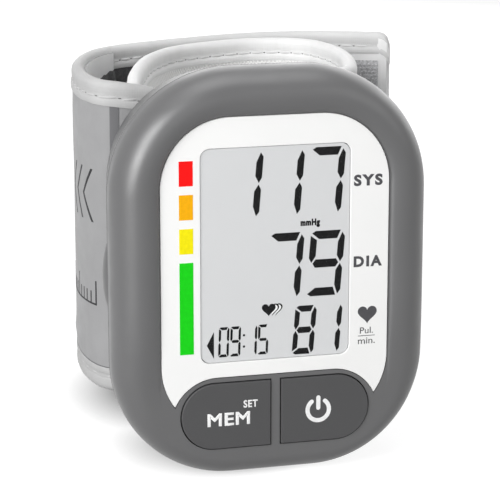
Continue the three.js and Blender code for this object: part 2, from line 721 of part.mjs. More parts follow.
function buttonSet(name, side) {
  const x = side * buttonCentre;
  const cap = plate(buttonShape(side, 0), -BUTTON_CROWN, flangeFront + BUTTON_FLANGE_THICKNESS / 2);
  const flange = plate(buttonShape(side, BUTTON_FLANGE), flangeFront, flangeBack);
  addPart(`${name}_button`, join(cap, flange), finishes.keyGrey());
  const half = SWITCH_SIZE / 2;
  const boreEnd = switchBase - SWITCH_BORE_FLOOR;
  const base = cut(
    block(x - half, x + half, switchTop, switchBase, BUTTON_LEVEL - half, BUTTON_LEVEL + half),
    pegInDepth(PLUNGER_RADIUS + BORE_GAP, x, BUTTON_LEVEL, switchTop - CUT_OVER, boreEnd),
  );
  addPart(`${name}_switch_base`, base, finishes.darkPlastic());
  const plunger = pegInDepth(PLUNGER_RADIUS, x, BUTTON_LEVEL, plungerTop, plungerEnd);
  addPart(`${name}_switch_plunger`, plunger, finishes.steel());
}
buttonSet("memory", -1);
buttonSet("power", 1);

// Pump: motor in a rubber sleeve, rotor with an eccentric, head with its outlet
const motorTop = pumpLow + MOTOR_LENGTH;
const headLow = motorTop + SEAT_GAP;
const headTop = headLow + PUMP_HEAD_LENGTH;
const shaftTop = motorTop + SHAFT_LENGTH;

function pumpPeg(radius, low, high, steps) {
  return pegUpright(radius, pumpSide, pumpDepth, low, high, steps);
}
addPart(
  "pump_motor",
  cut(
    pumpPeg(MOTOR_RADIUS, pumpLow, motorTop, ROUND_STEPS),
    pumpPeg(SHAFT_RADIUS + RUNNING_GAP, motorTop - SHAFT_GRIP - SEAT_GAP, motorTop + CUT_OVER),
  ),
  finishes.steel(),
);
const eccentric = pegUpright(
  ECCENTRIC_RADIUS, pumpSide + ECCENTRIC_THROW, pumpDepth, shaftTop - ECCENTRIC_HEIGHT, shaftTop,
);
addPart(
  "pump_rotor",
  join(pumpPeg(SHAFT_RADIUS, motorTop - SHAFT_GRIP, shaftTop - ECCENTRIC_HEIGHT / 2), eccentric),
  finishes.steel(),
);
addPart(
  "pump_head",
  cut(
    join(
      pumpPeg(MOTOR_RADIUS, headLow, headTop, ROUND_STEPS),
      pumpPeg(NOZZLE_RADIUS, headTop - JOIN_OVER, headTop + NOZZLE_LENGTH),
    ),
    pumpPeg(PUMP_CHAMBER_RADIUS, headLow - CUT_OVER, headLow + PUMP_CHAMBER_LENGTH),
    pumpPeg(NOZZLE_BORE, headLow, headTop + NOZZLE_LENGTH + CUT_OVER),
  ),
  finishes.darkPlastic(),
);
const sleeveLow = pumpLow + (MOTOR_LENGTH - SLEEVE_LENGTH) / 2;
addPart(
  "pump_sleeve",
  cut(
    pumpPeg(pumpOuter, sleeveLow, sleeveLow + SLEEVE_LENGTH, ROUND_STEPS),
    pumpPeg(MOTOR_RADIUS + BORE_GAP, sleeveLow - CUT_OVER, sleeveLow + SLEEVE_LENGTH + CUT_OVER, ROUND_STEPS),
  ),
  finishes.rubber(),
);

// Air manifold between pump, valve, pressure sensor and cuff
const sensorHeight = manifoldMiddle + SENSOR_RISE;

function airPeg(radius, low, high) {
  return pegUpright(radius, AIR_LINE, airDepth, low, high);
}
function airBlock(low, high) {
  return block(AIR_LINE - AIR_BLOCK / 2, AIR_LINE + AIR_BLOCK / 2, airFront, airFront + AIR_BLOCK, low, high);
}
addPart(
  "air_manifold",
  cut(
    join(
      airBlock(manifoldLow, manifoldTop),
      airPeg(NOZZLE_RADIUS, manifoldLow - NOZZLE_LENGTH, manifoldTop + NOZZLE_LENGTH),
    ),
    airPeg(NOZZLE_BORE, manifoldLow - NOZZLE_LENGTH - CUT_OVER, manifoldTop + NOZZLE_LENGTH + CUT_OVER),
    pegInDepth(SENSOR_NIPPLE + BORE_GAP, AIR_LINE, sensorHeight, airFront - CUT_OVER, airDepth),
    pegInDepth(nippleHole, AIR_LINE, portHeight, airDepth, airFront + AIR_BLOCK + CUT_OVER),
  ),
  finishes.darkPlastic(),
);
const sensorFront = boardBack + SEAT_GAP;
addPart(
  "pressure_sensor",
  join(
    block(AIR_LINE - SENSOR_SIZE / 2, AIR_LINE + SENSOR_SIZE / 2, sensorFront, sensorFront + SENSOR_HEIGHT,
      sensorHeight - SENSOR_SIZE / 2, sensorHeight + SENSOR_SIZE / 2),
    pegInDepth(SENSOR_NIPPLE, AIR_LINE, sensorHeight, sensorFront + JOIN_OVER, airDepth - SEAT_GAP),
  ),
  finishes.darkPlastic(),
);

// Release valve under the manifold
addPart(
  "valve_body",
  cut(
    join(
      airBlock(valveLow, valveTop),
      airPeg(NOZZLE_RADIUS, valveTop - JOIN_OVER, valveTop + NOZZLE_LENGTH),
    ),
    airPeg(VALVE_PLUNGER_RADIUS + RUNNING_GAP, valveLow - CUT_OVER, valveLow + VALVE_BORE_LENGTH),
    airPeg(NOZZLE_BORE, valveLow, valveTop + NOZZLE_LENGTH + CUT_OVER),
  ),
  finishes.steel(),
);
addPart("valve_plunger", airPeg(VALVE_PLUNGER_RADIUS, plungerTip, plungerInside), finishes.steel());

// Air tubes pushed over the nozzles
function tube(name, route, steps) {
  const section = new THREE.Shape();
  section.absarc(0, 0, NOZZLE_RADIUS + BORE_GAP + TUBE_WALL, 0, 2 * Math.PI);
  const bore = new THREE.Path();
  bore.absarc(0, 0, NOZZLE_RADIUS + BORE_GAP, 0, 2 * Math.PI);
  section.holes.push(bore);
  const options = { extrudePath: route, steps, bevelEnabled: false, curveSegments: TUBE_SIDES / 2 };
  addPart(name, new THREE.ExtrudeGeometry(section, options), finishes.silicone());
}
const pumpTubeEnd = new THREE.Vector3(pumpSide, pumpDepth, headTop + SEAT_GAP);
const pumpBend = pumpTubeEnd.clone().setZ(headTop + NOZZLE_LENGTH);
const manifoldTubeEnd = new THREE.Vector3(AIR_LINE, airDepth, manifoldTop + SEAT_GAP);
const manifoldBend = manifoldTubeEnd.clone().setZ(manifoldTop + NOZZLE_LENGTH);
const archTop = Math.max(pumpBend.z, manifoldBend.z) + TUBE_RISE;
const arch = new THREE.CurvePath();
arch.add(new THREE.LineCurve3(pumpTubeEnd, pumpBend));
const pumpPull = pumpBend.clone().setZ(archTop);
const manifoldPull = manifoldBend.clone().setZ(archTop);
arch.add(new THREE.CubicBezierCurve3(pumpBend, pumpPull, manifoldPull, manifoldBend));
arch.add(new THREE.LineCurve3(manifoldBend, manifoldTubeEnd));
tube("pump_tube", arch, TUBE_STEPS);
const valveTubeLow = new THREE.Vector3(AIR_LINE, airDepth, valveTop + SEAT_GAP);
tube("valve_tube", new THREE.LineCurve3(valveTubeLow.clone().setZ(valveTubeTop), valveTubeLow), 1);

// Cuff: the inner band is one strip of layers, and the strap goes on from it round the outside
const cuffLow = middle + CUFF_RISE - CUFF_HEIGHT / 2;
const cuffHigh = cuffLow + CUFF_HEIGHT;
const bandFront = rearWall + 2 * SEAT_GAP + BINDING_THICKNESS;
const strapInside = rearWall + SEAT_GAP + STRAP_BINDING_PROUD + STRAP_THICKNESS;

// A line seen from above through [x, distance behind the front] stops.
function lineThrough(stops, front) {
  return new THREE.CatmullRomCurve3(stops.map(([x, behind]) => new THREE.Vector3(x, front + behind, 0)));
}
const bandEnd = [BAND_END_SIDE, strapInside + STRAP_BINDING_PROUD + BAND_END_CLEARANCE - bandFront];
const bandStops = [bandEnd, ...BAND_ROUTE, [BAND_RUN_END, 0]];
const bandLine = lineThrough(bandStops, bandFront);
const bandLast = bandStops.length - 1;
const rootStops = [[BAND_RUN_END - SEAT_GAP, 0], ...STRAP_ROOT_ROUTE];
const strapStops = [...rootStops, SWING_LINE, ...SIDE_ROUTE, PEEL_LINE, ...TAIL_ROUTE];
const strapLine = lineThrough(strapStops, strapInside);
const swingStop = rootStops.length;
const peelStop = swingStop + SIDE_ROUTE.length + 1;
const tailStop = strapStops.length - 1;

// Marks along a line, counted in stops.
function marks(from, to) {
  const count = Math.round((to - from) * ROUTE_STEPS);
  return Array.from({ length: count + 1 }, (_, step) => from + ((to - from) * step) / count);
}

// Places on a line at the marks, each with the direction towards the wrist; the ends can be trimmed.
function samplesOf(line, places, trimFrom = 0, trimTo = 0) {
  return places.map((mark, index) => {
    const along = line.getTangent(mark / (line.points.length - 1));
    const atEnd = index === places.length - 1 ? -trimTo : 0;
    const place = line.getPoint(mark / (line.points.length - 1));
    place.addScaledVector(along, index === 0 ? trimFrom : atEnd);
    return { mark, place, inward: new THREE.Vector3(along.y, -along.x, 0) };
  });
}

// Sweeps a section of [distance inwards, height] pairs along samples.
function sweep(samples, sectionAt) {
  const rings = samples.map((sample) =>
    sectionAt(sample).map(([offset, height]) => {
      const point = sample.place.clone().addScaledVector(sample.inward, offset);
      point.z = height;
      return point;
    }),
  );
  const contour = sectionAt(samples[0]).map(([offset, height]) => new THREE.Vector2(offset, height));
  return skin(rings, contour);
}

function flatSection(outer, inner, low, high) {
  return () => [[outer, low], [inner, low], [inner, high], [outer, high]];
}

// Layers of the inner band
const curlerOuter = COVER_THICKNESS + SEAT_GAP;
const curlerInner = curlerOuter + CURLER_THICKNESS;
const bladderOuter = curlerInner + SEAT_GAP;
const bladderInner = bladderOuter + BLADDER_THICKNESS;
const liningOuter = bladderInner + SEAT_GAP;
const bandThickness = liningOuter + LINING_THICKNESS;
const clothLow = cuffLow + BINDING_THICKNESS + SEAT_GAP;
const clothHigh = cuffHigh - BINDING_THICKNESS - SEAT_GAP;
const bandSamples = samplesOf(bandLine, marks(0, bandLast));
const innerSamples = samplesOf(bandLine, marks(1, bandLast - 1));

// Holes through cover and curler for the cuff screws and the bladder's nipple
function bandHole(radius, [x, height]) {
  return pegInDepth(radius, x, height, rearWall, bandFront + bladderOuter);
}
const bandHoles = [
  bandHole(nippleHole, [AIR_LINE, portHeight]),
  ...cuffScrews.map((place) => bandHole(SCREW_RADIUS + BORE_GAP, place)),
];
const coverStrip = sweep(bandSamples, flatSection(0, COVER_THICKNESS, clothLow, clothHigh));
addPart("cuff_cover", cut(coverStrip, ...bandHoles), finishes.fabric());

const curlerLow = cuffLow + CURLER_MARGIN;
const curlerHigh = cuffHigh - CURLER_MARGIN;
const curlerStrip = sweep(innerSamples, flatSection(curlerOuter, curlerInner, curlerLow, curlerHigh));
addPart("cuff_curler", cut(curlerStrip, ...bandHoles), finishes.darkPlastic());

function cuffBladder() {
  const low = cuffLow + BLADDER_MARGIN;
  const high = cuffHigh - BLADDER_MARGIN;
  const bag = sweep(innerSamples, flatSection(bladderOuter, bladderInner, low, high));
  const nippleEnd = bandFront + bladderOuter;
  const nippleRoot = nippleEnd + BLADDER_THICKNESS / 2;
  const nipple = pegInDepth(NOZZLE_RADIUS, AIR_LINE, portHeight, airDepth + SEAT_GAP, nippleRoot);
  const bore = pegInDepth(NOZZLE_BORE, AIR_LINE, portHeight, airDepth, nippleEnd);
  return cut(join(bag, nipple), bore);
}
addPart("cuff_bladder", cuffBladder(), finishes.rubber());

const liningStrip = sweep(bandSamples, flatSection(liningOuter, bandThickness, clothLow, clothHigh));
addPart("cuff_lining", liningStrip, finishes.lining());

// Binding tape: folded over an edge of cover and lining, with a rounded fold
function bindingSection(edge, towards) {
  const outside = -SEAT_GAP - BINDING_THICKNESS;
  const inside = bandThickness + SEAT_GAP + BINDING_THICKNESS;
  const hem = edge - towards * BINDING_HEIGHT;
  const fold = edge - towards * BINDING_THICKNESS;
  const shoulder = edge - towards * BINDING_ROUND;
  const section = [
    [outside, hem], [outside, shoulder], [outside + BINDING_ROUND, edge],
    [inside - BINDING_ROUND, edge], [inside, shoulder], [inside, hem],
    [inside - BINDING_THICKNESS, hem], [inside - BINDING_THICKNESS, fold],
    [outside + BINDING_THICKNESS, fold], [outside + BINDING_THICKNESS, hem],
  ];
  return () => section;
}
addPart("cuff_binding_upper", sweep(bandSamples, bindingSection(cuffHigh, 1)), finishes.binding());
addPart("cuff_binding_lower", sweep(bandSamples, bindingSection(cuffLow, -1)), finishes.binding());

// Strap: sewn cloth with bound edges that stand a little proud on both faces.
// Its edges climb from the root to the peel line, and are drawn in for the tail's round corners.
const tailTip = strapLine.getPoint(1);
function strapSection({ mark, place }) {
  const climb = Math.min(mark, peelStop) / peelStop;
  const rise = THREE.MathUtils.lerp(STRAP_ROOT_RISE, STRAP_TAIL_RISE, climb);
  const intoCorner = Math.max(0, TAIL_CORNER - place.distanceTo(tailTip));
  const drawnIn = TAIL_CORNER - Math.sqrt(TAIL_CORNER ** 2 - intoCorner ** 2);
  const low = cuffLow + rise + drawnIn;
  const high = cuffHigh + rise - drawnIn;
  const hemLow = low + BINDING_HEIGHT;
  const hemHigh = high - BINDING_HEIGHT;
  const outside = -STRAP_THICKNESS - STRAP_BINDING_PROUD;
  const inside = STRAP_BINDING_PROUD;
  return [
    [outside + BINDING_ROUND, low], [inside - BINDING_ROUND, low], [inside, low + BINDING_ROUND],
    [inside, hemLow], [0, hemLow], [0, hemHigh], [inside, hemHigh],
    [inside, high - BINDING_ROUND], [inside - BINDING_ROUND, high], [outside + BINDING_ROUND, high],
    [outside, high - BINDING_ROUND], [outside, hemHigh], [-STRAP_THICKNESS, hemHigh],
    [-STRAP_THICKNESS, hemLow], [outside, hemLow], [outside, low + BINDING_ROUND],
  ];
}
function strapPiece(name, places, trimFrom, trimTo) {
  addPart(name, sweep(samplesOf(strapLine, places, trimFrom, trimTo), strapSection), finishes.fabric());
}
const halfGap = SEAT_GAP / 2;
const cornerMarks = CORNER_MARKS.map((share) => tailStop - share);
strapPiece("strap_root", marks(0, swingStop), 0, halfGap);
strapPiece("strap_side", marks(swingStop, peelStop), halfGap, halfGap);
strapPiece("strap_tail", [...marks(peelStop, tailStop).slice(0, -1), ...cornerMarks, tailStop], halfGap, 0);

// Hook patch on the tail's inner face, placed by its distance from the tip
const strapLength = strapLine.getLength();
function strapMark(fromTip) {
  return strapLine.getUtoTmapping(1 - fromTip / strapLength) * tailStop;
}
const hookMarks = marks(strapMark(HOOK_TIP_MARGIN + HOOK_LENGTH), strapMark(HOOK_TIP_MARGIN));
const hookSamples = samplesOf(strapLine, hookMarks);
const hookLow = cuffLow + STRAP_TAIL_RISE + HOOK_MARGIN;
const hookHigh = cuffHigh + STRAP_TAIL_RISE - HOOK_MARGIN;
const hookSection = flatSection(SEAT_GAP, SEAT_GAP + HOOK_THICKNESS, hookLow, hookHigh);
addPart("hook_patch", sweep(hookSamples, hookSection), finishes.hook());

// Screws: case halves, board, and cuff to rear wall
function screw(name, [x, height], seat, tip) {
  const direction = Math.sign(seat - tip);
  const head = [seat, seat + direction * SCREW_HEAD_HEIGHT].sort((a, b) => a - b);
  const shank = [tip, seat + (direction * SCREW_HEAD_HEIGHT) / 2].sort((a, b) => a - b);
  addPart(
    name,
    join(pegInDepth(SCREW_HEAD_RADIUS, x, height, ...head), pegInDepth(SCREW_RADIUS, x, height, ...shank)),
    finishes.steel(),
  );
}
caseScrews.forEach((place, index) => screw(`case_screw_${index + 1}`, place, screwSeat + SEAT_GAP, screwTip));
boardScrews.forEach((place, index) =>
  screw(`board_screw_${index + 1}`, place, boardBack + SEAT_GAP, boardFront - BOARD_SCREW_LENGTH),
);
cuffScrews.forEach((place, index) =>
  screw(`cuff_screw_${index + 1}`, place, rearInside - SEAT_GAP, bandFront + curlerInner),
);

export default monitor;
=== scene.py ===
"""Looks of a wrist blood pressure monitor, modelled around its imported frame.

Sizes are millimetres in the frame's axes: +X right, -Y out of the display, +Z up.
"""

import math
from bisect import bisect
from collections import namedtuple

import bmesh
import bpy
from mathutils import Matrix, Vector, noise


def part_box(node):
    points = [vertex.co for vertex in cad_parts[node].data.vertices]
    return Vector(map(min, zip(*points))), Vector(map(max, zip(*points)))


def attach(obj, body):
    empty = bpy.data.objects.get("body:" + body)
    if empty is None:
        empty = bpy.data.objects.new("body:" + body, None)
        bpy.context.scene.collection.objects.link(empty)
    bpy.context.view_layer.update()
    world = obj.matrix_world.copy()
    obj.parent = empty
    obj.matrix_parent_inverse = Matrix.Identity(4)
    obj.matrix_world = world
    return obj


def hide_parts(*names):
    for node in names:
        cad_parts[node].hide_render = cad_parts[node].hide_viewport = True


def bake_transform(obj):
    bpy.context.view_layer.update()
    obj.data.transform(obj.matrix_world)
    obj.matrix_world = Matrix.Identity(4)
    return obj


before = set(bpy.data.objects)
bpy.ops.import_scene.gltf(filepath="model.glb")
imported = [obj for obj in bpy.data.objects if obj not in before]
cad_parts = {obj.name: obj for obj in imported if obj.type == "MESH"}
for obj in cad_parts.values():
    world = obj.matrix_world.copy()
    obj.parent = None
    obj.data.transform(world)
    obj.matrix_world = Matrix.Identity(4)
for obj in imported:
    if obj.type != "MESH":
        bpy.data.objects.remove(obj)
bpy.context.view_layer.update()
MM = 0.001

# Camera
CAMERA_TURN = -14.925
CAMERA_RISE = 13.549
CAMERA_DISTANCE = 442.7
CAMERA_TARGET = (-5.7, -16, 50.43)
CAMERA_LENS = 151.2
CAMERA_NEAR = 10

# Light; each lamp has its name, place, width, height and power in watts
WORLD_LIGHT = 0.16
LIT_POINT = (0, 0, 50)
LAMPS = [
    ("key", (-539, -377, 289), 460, 560, 5.1),
    ("spark", (-522, -352, 358), 200, 250, 0.9),
    ("front", (-60, -690, 130), 450, 350, 0.3),
    ("right", (420, -420, 330), 500, 400, 0.65),
    ("rear", (420, 560, 330), 1000, 600, 2.7),
    ("overhead", (0, -20, 760), 520, 520, 1.8),
]

# Floor; its glow is cut back in painted shadows, each with a middle, a squeeze from front to back, and a
# start and end of its fade
FLOOR_REACH = 3000
FLOOR_GLOW = (0.04, 0.84)
SHADE_POWER = 0.8
CUFF_PAINTED_SHADOW = ((3, 49.5), 0.91, (24, 39))
CASE_PAINTED_SHADOW = ((-6, 9), 1, (9, 26))

# Case shells
TOP_CORNER = 27
BOTTOM_CORNER = 25.5
RIM_WIDTH = 9.3
RIM_CREST_INSET = 6.2
RIM_ROUND_DEPTH = 6.5
RIM_INNER_CORNER = 15.3
CREST_FADE = (16, 36)
CHIN_RIM = 6.2
CASE_WALL = 2
CAVITY_TAPER = 1
EDGE_ROUND = 0.18
FRONT_DRAFT = 0.15
FLANK_SLOPE = 0.2
REAR_EDGE = 3.6
FOOT_WIDTH = 18
FOOT_LENGTH = 12
FOOT_ROUND = 0.4
BAY_WALL = 1.2
BAY_FIT = 0.4
BAY_BACK = 0.2
BAY_ROUND = 0.2
CATCH_WIDTH = 8
CATCH_HEIGHT = 20
CATCH_LEVEL = 42
SCREWS = range(1, 5)
SCREW_HEAD_RADIUS = 2
SCREW_RADIUS = 1.1
SCREW_HEAD_HEIGHT = 1.1
SCREW_HEAD_ROUND = 0.3
SCREW_HOLE_GAP = 0.15
CROSS_HALF_LENGTH = 1.2
CROSS_HALF_WIDTH = 0.22
CROSS_DEPTH = 0.6
CUT_PAST = 5

# Face panel and display
SEAT_GAP = 0.3
PANEL_FIT = 0.12
PANEL_CORNER = 15
PANEL_BEVEL = 0.12
HORN_LEVEL = 10.7
CHIN_HEIGHT = 22.85
CHIN_HALF = 23.1
CHIN_CORNER = 10.3
WINDOW_CORNER = 2
WINDOW_CORNER_GROWTH = 0.5
WINDOW_GAP = 0.12
LENS_FLANGE = 1
LENS_PLATE = 0.8
LENS_THICKNESS = 0.2
LENS_GAP = 0.1
PANE_MARGIN = -0.04

# Buttons
BUTTON_LEVEL = 14.31
BUTTON_HEIGHT = 14.48
BUTTON_WIDTH = 19.6
BUTTON_SPACING = 2.4
BUTTON_GAP = 0.25
BUTTON_FLANGE = 0.8
BUTTON_FLANGE_THICKNESS = 0.9
BUTTON_ROUND = 0.18

# Printing; places are (left, right, low, high) or (x, rise), from the middle of the display
PRINT_THICKNESS = 0.03
ON_PANEL = ("monitor", "panel_white")
ON_DISPLAY = ("monitor", "display_grey")
BAR_SIDES = (-21, -18)
LEVEL_BARS = [
    ("red", (255, 24, 24), 15.6, 20.9),
    ("orange", (248, 178, 18), 8.4, 13.75),
    ("yellow", (246, 233, 20), 1.1, 6.5),
    ("green", (28, 211, 28), -20.8, -0.8),
]
# Name, words, place, how much bolder than plain, and spacing of the letters
LABELS = [
    ("label_sys", "SYS", (17.1, 23.5, 13.65, 16.15), 0.046, 1.28),
    ("label_dia", "DIA", (17.25, 23.6, -4.05, -1.65), 0.046, 1.28),
    ("label_pulse", "Pul.", (18.85, 21.8, -18.95, -17.55), 0, 1),
    ("label_minute", "min.", (18.45, 22.25, -21.25, -19.9), 0, 1),
]
UNIT_LABEL = ("unit_mmhg", "mmHg", (5.45, 9.75, 5.2, 7.1), 0.065, 1.16)
KEY_LABELS = [
    ("key_mem", "MEM", (-15.2, -5.8, -37.1, -34.2), 0.03, 1.08),
    ("key_set", "SET", (-7.25, -4.1, -33.4, -31.7), 0.03, 1.08),
]
LABEL_RULE = (18.4, 22.25, -19.5, -19.36)
LABEL_HEART = (20.45, -14.7)
LABEL_HEART_WIDTH = 4.3
POWER_PLACE = (9.45, -35.15)
POWER_OUTER = 2.88
POWER_INNER = 1.94
POWER_OPENING = 38
POWER_BAR_HALF = 0.47
POWER_BAR_ENDS = (0.4, 2.75)
PULSE_PLACE = (-1.5, -12.25)
PULSE_WIDTH = 3.05
PULSE_STEP = 0.77
PULSE_LAYER = 0.01
PULSE_PALE_SHARE = 0.79
CLOCK_DOT_SIDES = (-7.17, -6.73)
CLOCK_DOT_RISES = (-20.2, -17.7)
CLOCK_DOT_HEIGHT = 0.45
CLOCK_POINTER = [(-15.1, -19.25), (-13.55, -16.3), (-13.55, -22.2)]
SEGMENT_SLANT = 4.6
CLOCK_SLANT = 2
SEGMENT_GAP = 0.1
SEGMENT_SLIM = 0.81
LIT = {"0": "abcdef", "1": "bc", "5": "acdfg", "7": "abc", "8": "abcdefg", "9": "abcdfg"}
# Name, figures, their left sides, low side, width, height, thickness of a segment, and slant
READINGS = [
    ("reading_upper", "117", (-11.35, -2.37, 6.66), 8.1, 7.63, 14.35, 1.8, SEGMENT_SLANT),
    ("reading_middle", "79", (-2.36, 6.67), -9.9, 7.63, 14.25, 1.8, SEGMENT_SLANT),
    ("reading_pulse", "81", (3.6, 9.37), -22.6, 4.78, 10.75, 1.35, SEGMENT_SLANT),
    ("reading_clock", "0915", (-12.65, -10.1, -6.5, -4), -22, 2.3, 6.6, 0.62, CLOCK_SLANT),
]

# Cuff: inner band and strap, seen from above as [x, distance behind the front run]
BAND_FRONT = 11.45
BAND_ROUTE = [
    [-26.2, 4.5], [-23.1, 15.1], [-19.3, 26.8], [-15.5, 35.7], [-8.3, 46.4], [-2.2, 51.2], [9, 56.3],
    [17.1, 57.9], [26.4, 55.9], [32, 50.6], [34.4, 41.6], [34.7, 31.7], [33.6, 22.6], [31.3, 13.3],
    [28.8, 6], [24.6, 1.2], [19, 0], [6, 0], [-7, 0], [-19.7, 0],
]
STRAP_INSIDE = 13.65
STRAP_ROUTE = [
    [-20, 0], [-25.8, 0], [-29.3, 1.1], [-30.9, 4], [-31.9, 9.8], [-31.8, 16.5], [-30.8, 23.5],
    [-28.3, 31.3], [-24.5, 38.3], [-18.7, 44], [-8.1, 49.5], [2.8, 53.8], [13.5, 57], [24, 58],
    [33.4, 57.1], [42, 53.7], [51.4, 49.7],
]
STRAP_SWING_STOP = 2
STRAP_PEEL_STOP = 8
STRAP_ROOT_RISE = -0.9
STRAP_ROOT_DROP = 1.3
STRAP_TAIL_RISE = 0.6
STRAP_CUT = 38
BAND_DIP = 2.4
BAND_DIP_LENGTH = 9
BAND_END_CORNER = 9
BAND_THICKNESS = 4.6
BAND_EDGE_INSET = 0.85
STRAP_THICKNESS = 2.6
COVER_THICKNESS = 0.9
COVER_WRINKLE = 0.15
LINING_THICKNESS = 0.8
LINING_SWELL = 0.5
LINING_WRINKLE = 0.3
LAYER_SWELL = 0.3
SWELL_REACH = 0.3
SWELL_START = 0.8
CLOTH_TUCK = 1.3
TUCK_GAP = 0.1
WRINKLE_LENGTH = 16
WRINKLE_ROWS = 4

# Bindings and stitching; a wander is (size, length)
HEM = 5.4
HEM_PROUD = 0.32
HEM_FADE = 0.05
HEM_WANDER = (0.2, 8)
LOWER_TUCK = 0.2
UPPER_SEED = 3.1
LOWER_SEED = 7.7
ROLL = 1.5
ROLL_PROUD = 0.16
ROLL_WANDER = (0.08, 5)
ROLL_PUCKER = 0.05
STITCH_LINE = 3.5
STITCH_HALF = 0.9
STRAP_PITCH = 3.6
BAND_PITCH = 4.3
GROOVE = 0.3
PUCKER = 0.14
THREAD_RADIUS = 0.3
THREAD_RISE = 0.2
THREAD_OPEN = 0.6
PIT_LENGTH = 0.9
PIT_RADIUS = 0.24
PIT_LIFT = 0.02
STITCH_END = 2
ROOT_STITCH_START = 1

# Strap's faces; a bell is (size, place, width)
FIELD_CROWN = 0.05
STRAP_WRINKLE = 0.15
LOW_BULGE = (0.25, 0.11, 0.03)
INNER_SEAM = 54.8
INNER_LAYER = 0.6
SEAM_HALF = 0.15
NOTCH = (0.5, INNER_SEAM, 0.35)
TAIL_CORNER = 3
TAIL_HEM = 2.7
TAIL_HEM_STEP = (-0.2, 0.1)
TAIL_GROOVE = (0.25, TAIL_HEM - 1.2, 0.35)
TAIL_ROUND = 1.2
STRIPE_PLACE = (7.4, 8.8)
STRIPE_ENDS = (1.2, 0.4)
STRIPE_ROWS = 24
STRIPE_LIFT = 0.12
# Painted shade along the crease above the lower binding: its width, start and lift
HEM_LINE = 0.3
HEM_LINE_START = 3
HEM_LINE_LIFT = 0.05
MARK_LIFT = 0.04
SCALE_START = 11.5
SCALE_END = 36
SCALE_HEIGHT = 32
SCALE_STEP = 1.9
SCALE_LINE = 0.4
SCALE_TICK = 2.6
SCALE_LONG_TICK = 5.2
SCALE_LONG_EVERY = 5
ARROW_STARTS = (12, 17, 22)
ARROW_LEVEL = 57
ARROW_REACH = 4
ARROW_RISE = 6
ARROW_WIDTH = 0.8
PILE_PLACE = (38.2, 66)
PILE_DROP = (7.4, 5.3)
PILE_DROP_START = 44
PILE_FOOT = 1
PILE_DEPTH = 0.35
PILE_SUNK = 0.3
PILE_EDGE_WANDER = (0.5, 1.1)
TUFT_SIZE = 0.7
TUFT_SHARE = 0.8
# Painted shade: binding tape is painted darker towards the strap's root, back to its own colour between
# these distances along it
ROOT_SHADE_REACH = (26, 58)
HOOK_PITCH = 0.9
HOOK_SHIFT = 0.25
HOOK_BACKING = (0.2, 0.45)
# Reach, lean and half width at a hook's root, shoulder and tip
HOOK_LEVELS = [(0.4, 0, 0.16), (0.95, 0.1, 0.13), (1.05, 0.4, 0.07)]

# Mesh fineness
CORNER_STEPS = 24
WINDOW_STEPS = 10
SIDE_STEPS = 10
RIM_STEPS = 14
CREST_STEPS = 8
CATCH_STEPS = 40
CATCH_TURN = 10
LINE_STEP = 0.6
SPLINE_STEPS = 40
FIELD_STEPS = 26
ROLL_STEPS = 6
SHARP_ANGLE = 32
CLOTH_SHARP_ANGLE = 50
THREAD_SHARP_ANGLE = 60

# Where noise is spread out: it seldom goes past these shares
NOISE_SPAN = (0.3, 0.7)


def box_mm(*names):
    """Lowest and highest corner of some nodes together, in millimetres."""
    boxes = [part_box(name) for name in names]
    low = Vector(min(b[0][i] for b in boxes) for i in range(3)) / MM
    high = Vector(max(b[1][i] for b in boxes) for i in range(3)) / MM
    return low, high


# Places that the frame gives
front_low, front_high = box_mm("front_case")
rear_low, rear_high = box_mm("rear_case")
panel_low, panel_high = box_mm("face_panel")
window_low, window_high = box_mm("display_window")
door_low, door_high = box_mm("battery_door")
hook_low, hook_high = box_mm("hook_patch")
lcd_back = box_mm("lcd_glass")[1].y
cells_right = box_mm("battery_1", "battery_2")[1].x
cuff_low = box_mm("cuff_binding_lower")[0].z
cuff_high = box_mm("cuff_binding_upper")[1].z
cuff_height = cuff_high - cuff_low
case_half = front_high.x
case_height = front_high.z
face = panel_low.y
panel_back = panel_high.y
rim_crest = face - front_low.y
window_half = window_high.x - LENS_FLANGE
window_bottom = window_low.z + LENS_FLANGE
window_top = window_high.z - LENS_FLANGE
display_middle = (window_bottom + window_top) / 2
pane_front = face + LENS_THICKNESS + LENS_GAP


# Meshes

def new_object(name, mesh):
    made = bpy.data.objects.new(name, mesh)
    bpy.context.scene.collection.objects.link(made)
    return made


def mesh_object(name, points, faces):
    """A piece from points in millimetres; its faces are turned to look outwards."""
    mesh = bpy.data.meshes.new(name)
    mesh.from_pydata([Vector(point) * MM for point in points], [], faces)
    work = bmesh.new()
    work.from_mesh(mesh)
    bmesh.ops.recalc_face_normals(work, faces=work.faces)
    work.to_mesh(mesh)
    work.free()
    return new_object(name, mesh)


def smooth(piece, angle=SHARP_ANGLE):
    """Smooth shading that keeps edges steeper than the angle sharp."""
    piece.data.polygons.foreach_set("use_smooth", [True] * len(piece.data.polygons))
    piece.data.set_sharp_from_angle(angle=math.radians(angle))
    return piece


def shown_mesh(piece):
    """A copy of the mesh that a piece shows with its modifiers."""
    return bpy.data.meshes.new_from_object(piece.evaluated_get(bpy.context.evaluated_depsgraph_get()))


def bake(piece):
    """Makes what the modifiers show the piece's own mesh."""
    mesh = shown_mesh(piece)
    piece.modifiers.clear()
    bare = piece.data
    piece.data = mesh
    bpy.data.meshes.remove(bare)
    return piece


def combine(base, operation, *tools):
    for tool in tools:
        modifier = base.modifiers.new("combine", "BOOLEAN")
        modifier.operation = operation
        modifier.solver = "EXACT"
        modifier.object = tool
    bake(base)
    for tool in tools:
        bpy.data.objects.remove(tool)
    return base


def bevel(piece, width, segments=2, angle=40):
    modifier = piece.modifiers.new("bevel", "BEVEL")
    modifier.width = width * MM
    modifier.segments = segments
    modifier.limit_method = "ANGLE"
    modifier.angle_limit = math.radians(angle)
    modifier.miter_outer = "MITER_ARC"
    return bake(piece)


